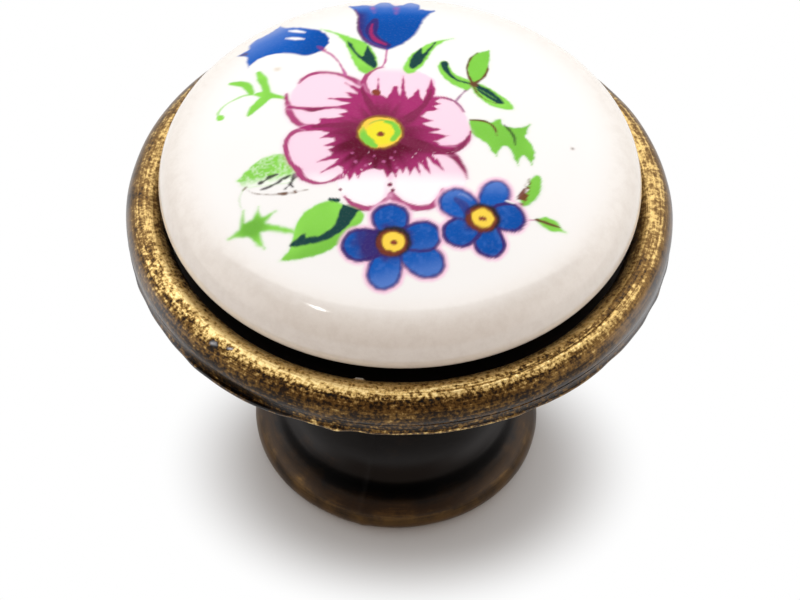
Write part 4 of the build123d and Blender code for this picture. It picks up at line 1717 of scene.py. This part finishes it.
@dataclass
class PorcelainCap:
    """The domed cap: a flat seat, a sloping underside, a rounded edge and a faintly wavy, printed crown."""

    lift: float = 2.95
    crown_rise: float = 4.1
    shoulder: float = 2.6
    under: float = 1.2
    undercut: float = 2.25
    print_radius: float = 13.75
    cells: int = 264
    crease: float = 40.0
    wave_depth: float = 0.022
    wave_length: float = 3.6
    wave_fade: tuple[float, float] = (13.6, 11.5)
    shoulder_shade_fade: tuple[float, float] = (11.5, 15.0)
    ink_cut: float = 0.94
    ink_levels: tuple[float, float] = (0.02, 0.25)
    finish: PrintedGlaze = field(default_factory=PrintedGlaze)

    def __post_init__(self) -> None:
        """Takes the radius and the seat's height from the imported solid, and works out the crown's sphere."""
        low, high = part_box("porcelain_cap")
        self.radius = (high.x - low.x) / 2 / MM
        self.seat = low.z / MM
        self.widest = self.seat + self.lift
        self.middle = self.radius - self.shoulder
        spread = self.middle**2 + self.crown_rise**2 - self.shoulder**2
        self.crown = spread / (2 * (self.crown_rise - self.shoulder))
        crown_angle = math.atan2(self.crown - self.crown_rise, self.middle)
        self.crown_edge = self.middle + self.shoulder * math.cos(crown_angle)

    def top(self, radius: np.ndarray) -> np.ndarray:
        """Height of the upper side: the crown's arc, or past its edge the shoulder's.

        Args:
            radius: distances from the axis.

        Returns:
            The height at each.
        """
        crown = self.widest + self.crown_rise - self.crown
        crown = crown + np.sqrt(self.crown**2 - np.minimum(radius, self.crown_edge) ** 2)
        out = np.clip(radius - self.middle, 0.0, self.shoulder)
        return np.where(radius < self.crown_edge, crown, self.widest + np.sqrt(self.shoulder**2 - out**2))

    def dome(self) -> np.ndarray:
        """Points of the printed top: the disc's grid at the height of the upper side, less a faint wave.

        Returns:
            Rows and columns of points, in millimetres.
        """
        x, y = (self.print_radius * part for part in disc_grid(self.cells))
        radius = np.hypot(x, y)
        wave = self.wave_depth * (1.0 + lumps(x / self.wave_length, y / self.wave_length, 91))
        return np.stack([x, y, self.top(radius) - wave * ease(*self.wave_fade, radius)], axis=-1)

    def edge(self) -> np.ndarray:
        """Section from the edge of the seat, up the underside and round to the print's edge.

        Returns:
            Rows of radius and height.
        """
        seat_radius = self.radius - self.undercut
        under_middle = self.radius - self.under
        reach = math.hypot(under_middle - seat_radius, self.lift)
        seat_direction = math.atan2(-self.lift, seat_radius - under_middle)
        start = math.degrees(seat_direction + math.acos(self.under / reach))
        end = math.degrees(math.acos((self.print_radius - self.middle) / self.shoulder))
        under = arc((under_middle, self.widest), (self.under, self.under), start, -start, 6)
        slope = line((seat_radius, self.seat), under[0], 3)
        shoulder = arc((self.middle, self.widest), (self.shoulder, self.shoulder), 0.0, end, 12)
        return np.concatenate([slope, under, shoulder])

    def paint(self, mesh: bpy.types.Mesh, place: np.ndarray, printed: int) -> None:
        """Gives the mesh its colours, with painted shade towards the edge, and its glaze, which is thinner
        wherever there is ink.

        Args:
            mesh: the cap's mesh.
            place: x and y of all its points, in millimetres.
            printed: how many of them, from the first, lie on the printed top.
        """
        # Painted shade: the bare glaze darkens from the white to the edge colour out towards the edge.
        thin = ease(*self.shoulder_shade_fade, np.hypot(*place.T))[:, None]
        bare = np.asarray(self.finish.white) * (1.0 - thin) + np.asarray(self.finish.edge) * thin
        colours = bare.copy()
        colours[:printed] = FlowerSpray(place[:printed], bare[:printed]).draw()
        layer = mesh.attributes.new("print", "FLOAT_COLOR", "POINT")
        layer.data.foreach_set("color", colours.astype(np.float32).ravel())
        inked = ease(*self.ink_levels, np.abs(colours - bare).max(axis=1))
        mark(mesh, "glaze", 1.0 - self.ink_cut * inked)

    def build(self) -> bpy.types.Object:
        """Bends the fine grid into the dome, closes it round the edge and below, prints it and dresses it.

        Returns:
            The piece.
        """
        shell = Shell()
        grid = shell.add(self.dome())
        shell.sheet(grid)
        rim = np.concatenate([grid[0, :-1], grid[:-1, -1], grid[-1, :0:-1], grid[:0:-1, 0]])
        first_corner = 0.625 * TURN
        angle = first_corner + np.linspace(0.0, TURN, len(rim), endpoint=False)
        edge = self.edge()
        rows = shell.add(revolved(edge[:, :1], edge[:, 1:], angle))
        shell.band(np.concatenate([rows, rim[None]]))
        shell.cap(rows[0], self.seat, True)
        mesh = shell.mesh("printed_cap", self.crease)
        self.paint(mesh, np.concatenate(shell.parts)[:, :2], grid.size)
        return add_piece("printed_cap", mesh, "porcelain_cap", self.finish.material())


@dataclass
class Studio:
    """White floor, a pale room that is brighter behind and at the sides, one small window, and the camera.

    Lengths of the camera and of the floor's shadow are in millimetres, those of the floor and the
    window in metres.
    """

    elevation: float = 50.184
    distance: float = 128.784
    aim_height: float = 13.031
    aim_shift: float = 0.132
    roll: float = 1.09
    lens: float = 85.0
    sensor_width: float = 36.0
    near_clip: float = 5.0
    floor_size: float = 3.0
    paper: Colour = (0.67, 0.665, 0.662, 1.0)
    shadow_middle: tuple[float, float] = (0.7, -4.1)
    shadow_squeeze: float = 1.35
    shadow_seen: tuple[float, float] = (9.9, 17.9)
    shadow_mirrored: tuple[float, float] = (14.0, 26.0)
    front_glow: Colour = (0.44, 0.355, 0.3, 1.0)
    top_glow: Colour = (0.54, 0.515, 0.49, 1.0)
    side_glow: Colour = (1.72, 1.72, 1.72, 1.0)
    back_glow: Colour = (1.9, 1.9, 1.9, 1.0)
    low_back_glow: Colour = (1.1, 1.1, 1.1, 1.0)
    front_fade: tuple[float, float] = (-0.8, 0.2)
    side_fade: tuple[float, float] = (0.6, 1.0)
    back_fade: tuple[float, float] = (0.15, 0.28)
    back_fall: tuple[float, float] = (0.6, 3.0)
    window_radiance: float = 9.0
    window_size: tuple[float, float] = (0.04, 0.07)
    window_front: float = 12.7
    window_side: float = -20.0
    window_away: float = 0.6

    def camera(self) -> None:
        """Sets the camera on the front side, looking down at the knob's axis."""
        data = bpy.data.cameras.new("camera")
        data.lens = self.lens
        data.sensor_width = self.sensor_width
        data.clip_start = self.near_clip * MM
        camera = bpy.data.objects.new("camera", data)
        bpy.context.scene.collection.objects.link(camera)
        tilt = math.radians(self.elevation)
        aim = Vector((self.aim_shift, 0.0, self.aim_height))
        away = Vector((0.0, -math.cos(tilt), math.sin(tilt))) * self.distance
        roll = Matrix.Rotation(math.radians(self.roll), 3, "Z")
        camera.location = (aim + away) * MM
        camera.rotation_euler = (Euler((math.pi / 2 - tilt, 0.0, 0.0)).to_matrix() @ roll).to_euler()
        bpy.context.scene.camera = camera

    def floor(self) -> None:
        """Lays a white floor that keeps the shadow near the foot.

        Farther out the camera and the metal see plain white: the paper's shader goes over into a white
        glow with the distance from the shadow's middle.
        """
        half = self.floor_size / 2
        mesh = bpy.data.meshes.new("floor")
        corners = [(-half, -half, 0.0), (half, -half, 0.0), (half, half, 0.0), (-half, half, 0.0)]
        mesh.from_pydata(corners, [], [(0, 1, 2, 3)])
        material, graph = new_graph("white_floor")
        x, y, _ = graph.split(graph.place())
        right, back = x - self.shadow_middle[0], (y - self.shadow_middle[1]) * self.shadow_squeeze
        away = (right * right + back * back) ** 0.5
        path = graph.node("ShaderNodeLightPath").outputs
        seen = Value(graph, path["Is Camera Ray"])
        mirrored = Value(graph, path["Is Glossy Ray"]).most(Value(graph, path["Is Transmission Ray"]))
        clear = (away.step(*self.shadow_seen) * seen).most(away.step(*self.shadow_mirrored) * mirrored)
        paper = graph.node("ShaderNodeBsdfDiffuse", None, {"Color": self.paper})
        white = graph.node("ShaderNodeEmission", None, {"Color": (1.0, 1.0, 1.0, 1.0), "Strength": 1.0})
        both = graph.node("ShaderNodeMixShader", None, {0: clear, 1: paper.outputs[0], 2: white.outputs[0]})
        graph.node("ShaderNodeOutputMaterial", None, {"Surface": both.outputs[0]})
        mesh.materials.append(material)
        piece = bpy.data.objects.new("floor", mesh)
        bpy.context.scene.collection.objects.link(piece)

    def window(self) -> None:
        """Hangs a small soft panel that faces the knob, above it and towards the front left."""
        lamp = bpy.data.lights.new("window", "AREA")
        lamp.shape = "RECTANGLE"
        lamp.size, lamp.size_y = self.window_size
        lamp.energy = self.window_radiance * lamp.size * lamp.size_y * 4.0
        holder = bpy.data.objects.new("window", lamp)
        bpy.context.scene.collection.objects.link(holder)
        lean = Matrix.Rotation(math.radians(self.window_front), 3, "X")
        turn = Matrix.Rotation(math.radians(self.window_side), 3, "Y") @ lean
        holder.location = turn @ Vector((0.0, 0.0, self.window_away))
        holder.rotation_euler = turn.to_euler()

    def room(self) -> None:
        """Lights the scene from a pale room, dimmer and warmer in front, brighter at both sides and behind.

        The brightness behind starts a little past straight above and falls towards the horizon.
        """
        world = bpy.data.worlds.new("studio")
        world.use_nodes = True
        bpy.context.scene.world = world
        graph = Graph(world.node_tree)
        x, y, z = graph.split(graph.node("ShaderNodeTexCoord").outputs["Generated"])
        back = y / z.most(0.03)
        colour = graph.mix(y.step(*self.front_fade), self.front_glow, self.top_glow)
        colour = graph.mix(abs(x).step(*self.side_fade), colour, self.side_glow)
        wall = graph.mix(back.step(*self.back_fall), self.back_glow, self.low_back_glow)
        colour = graph.mix(back.step(*self.back_fade), colour, wall)
        shine = graph.node("ShaderNodeBackground", None, {"Color": colour, "Strength": 1.0})
        graph.node("ShaderNodeOutputWorld", None, {"Surface": shine.outputs[0]})

    def build(self) -> None:
        """Makes the camera, the floor and the light."""
        bpy.context.scene.view_settings.view_transform = "Standard"
        self.camera()
        self.floor()
        self.room()
        self.window()


def main() -> None:
    """Builds the studio and both pieces, and reports each piece."""
    logging.basicConfig(level=logging.INFO, format="%(name)s: %(message)s")
    Studio().build()
    for part in (CastBase(), PorcelainCap()):
        piece = part.build()
        LOG.info("%s: %d faces", piece.name, len(piece.data.polygons))


if __name__ == "__main__":
    main()
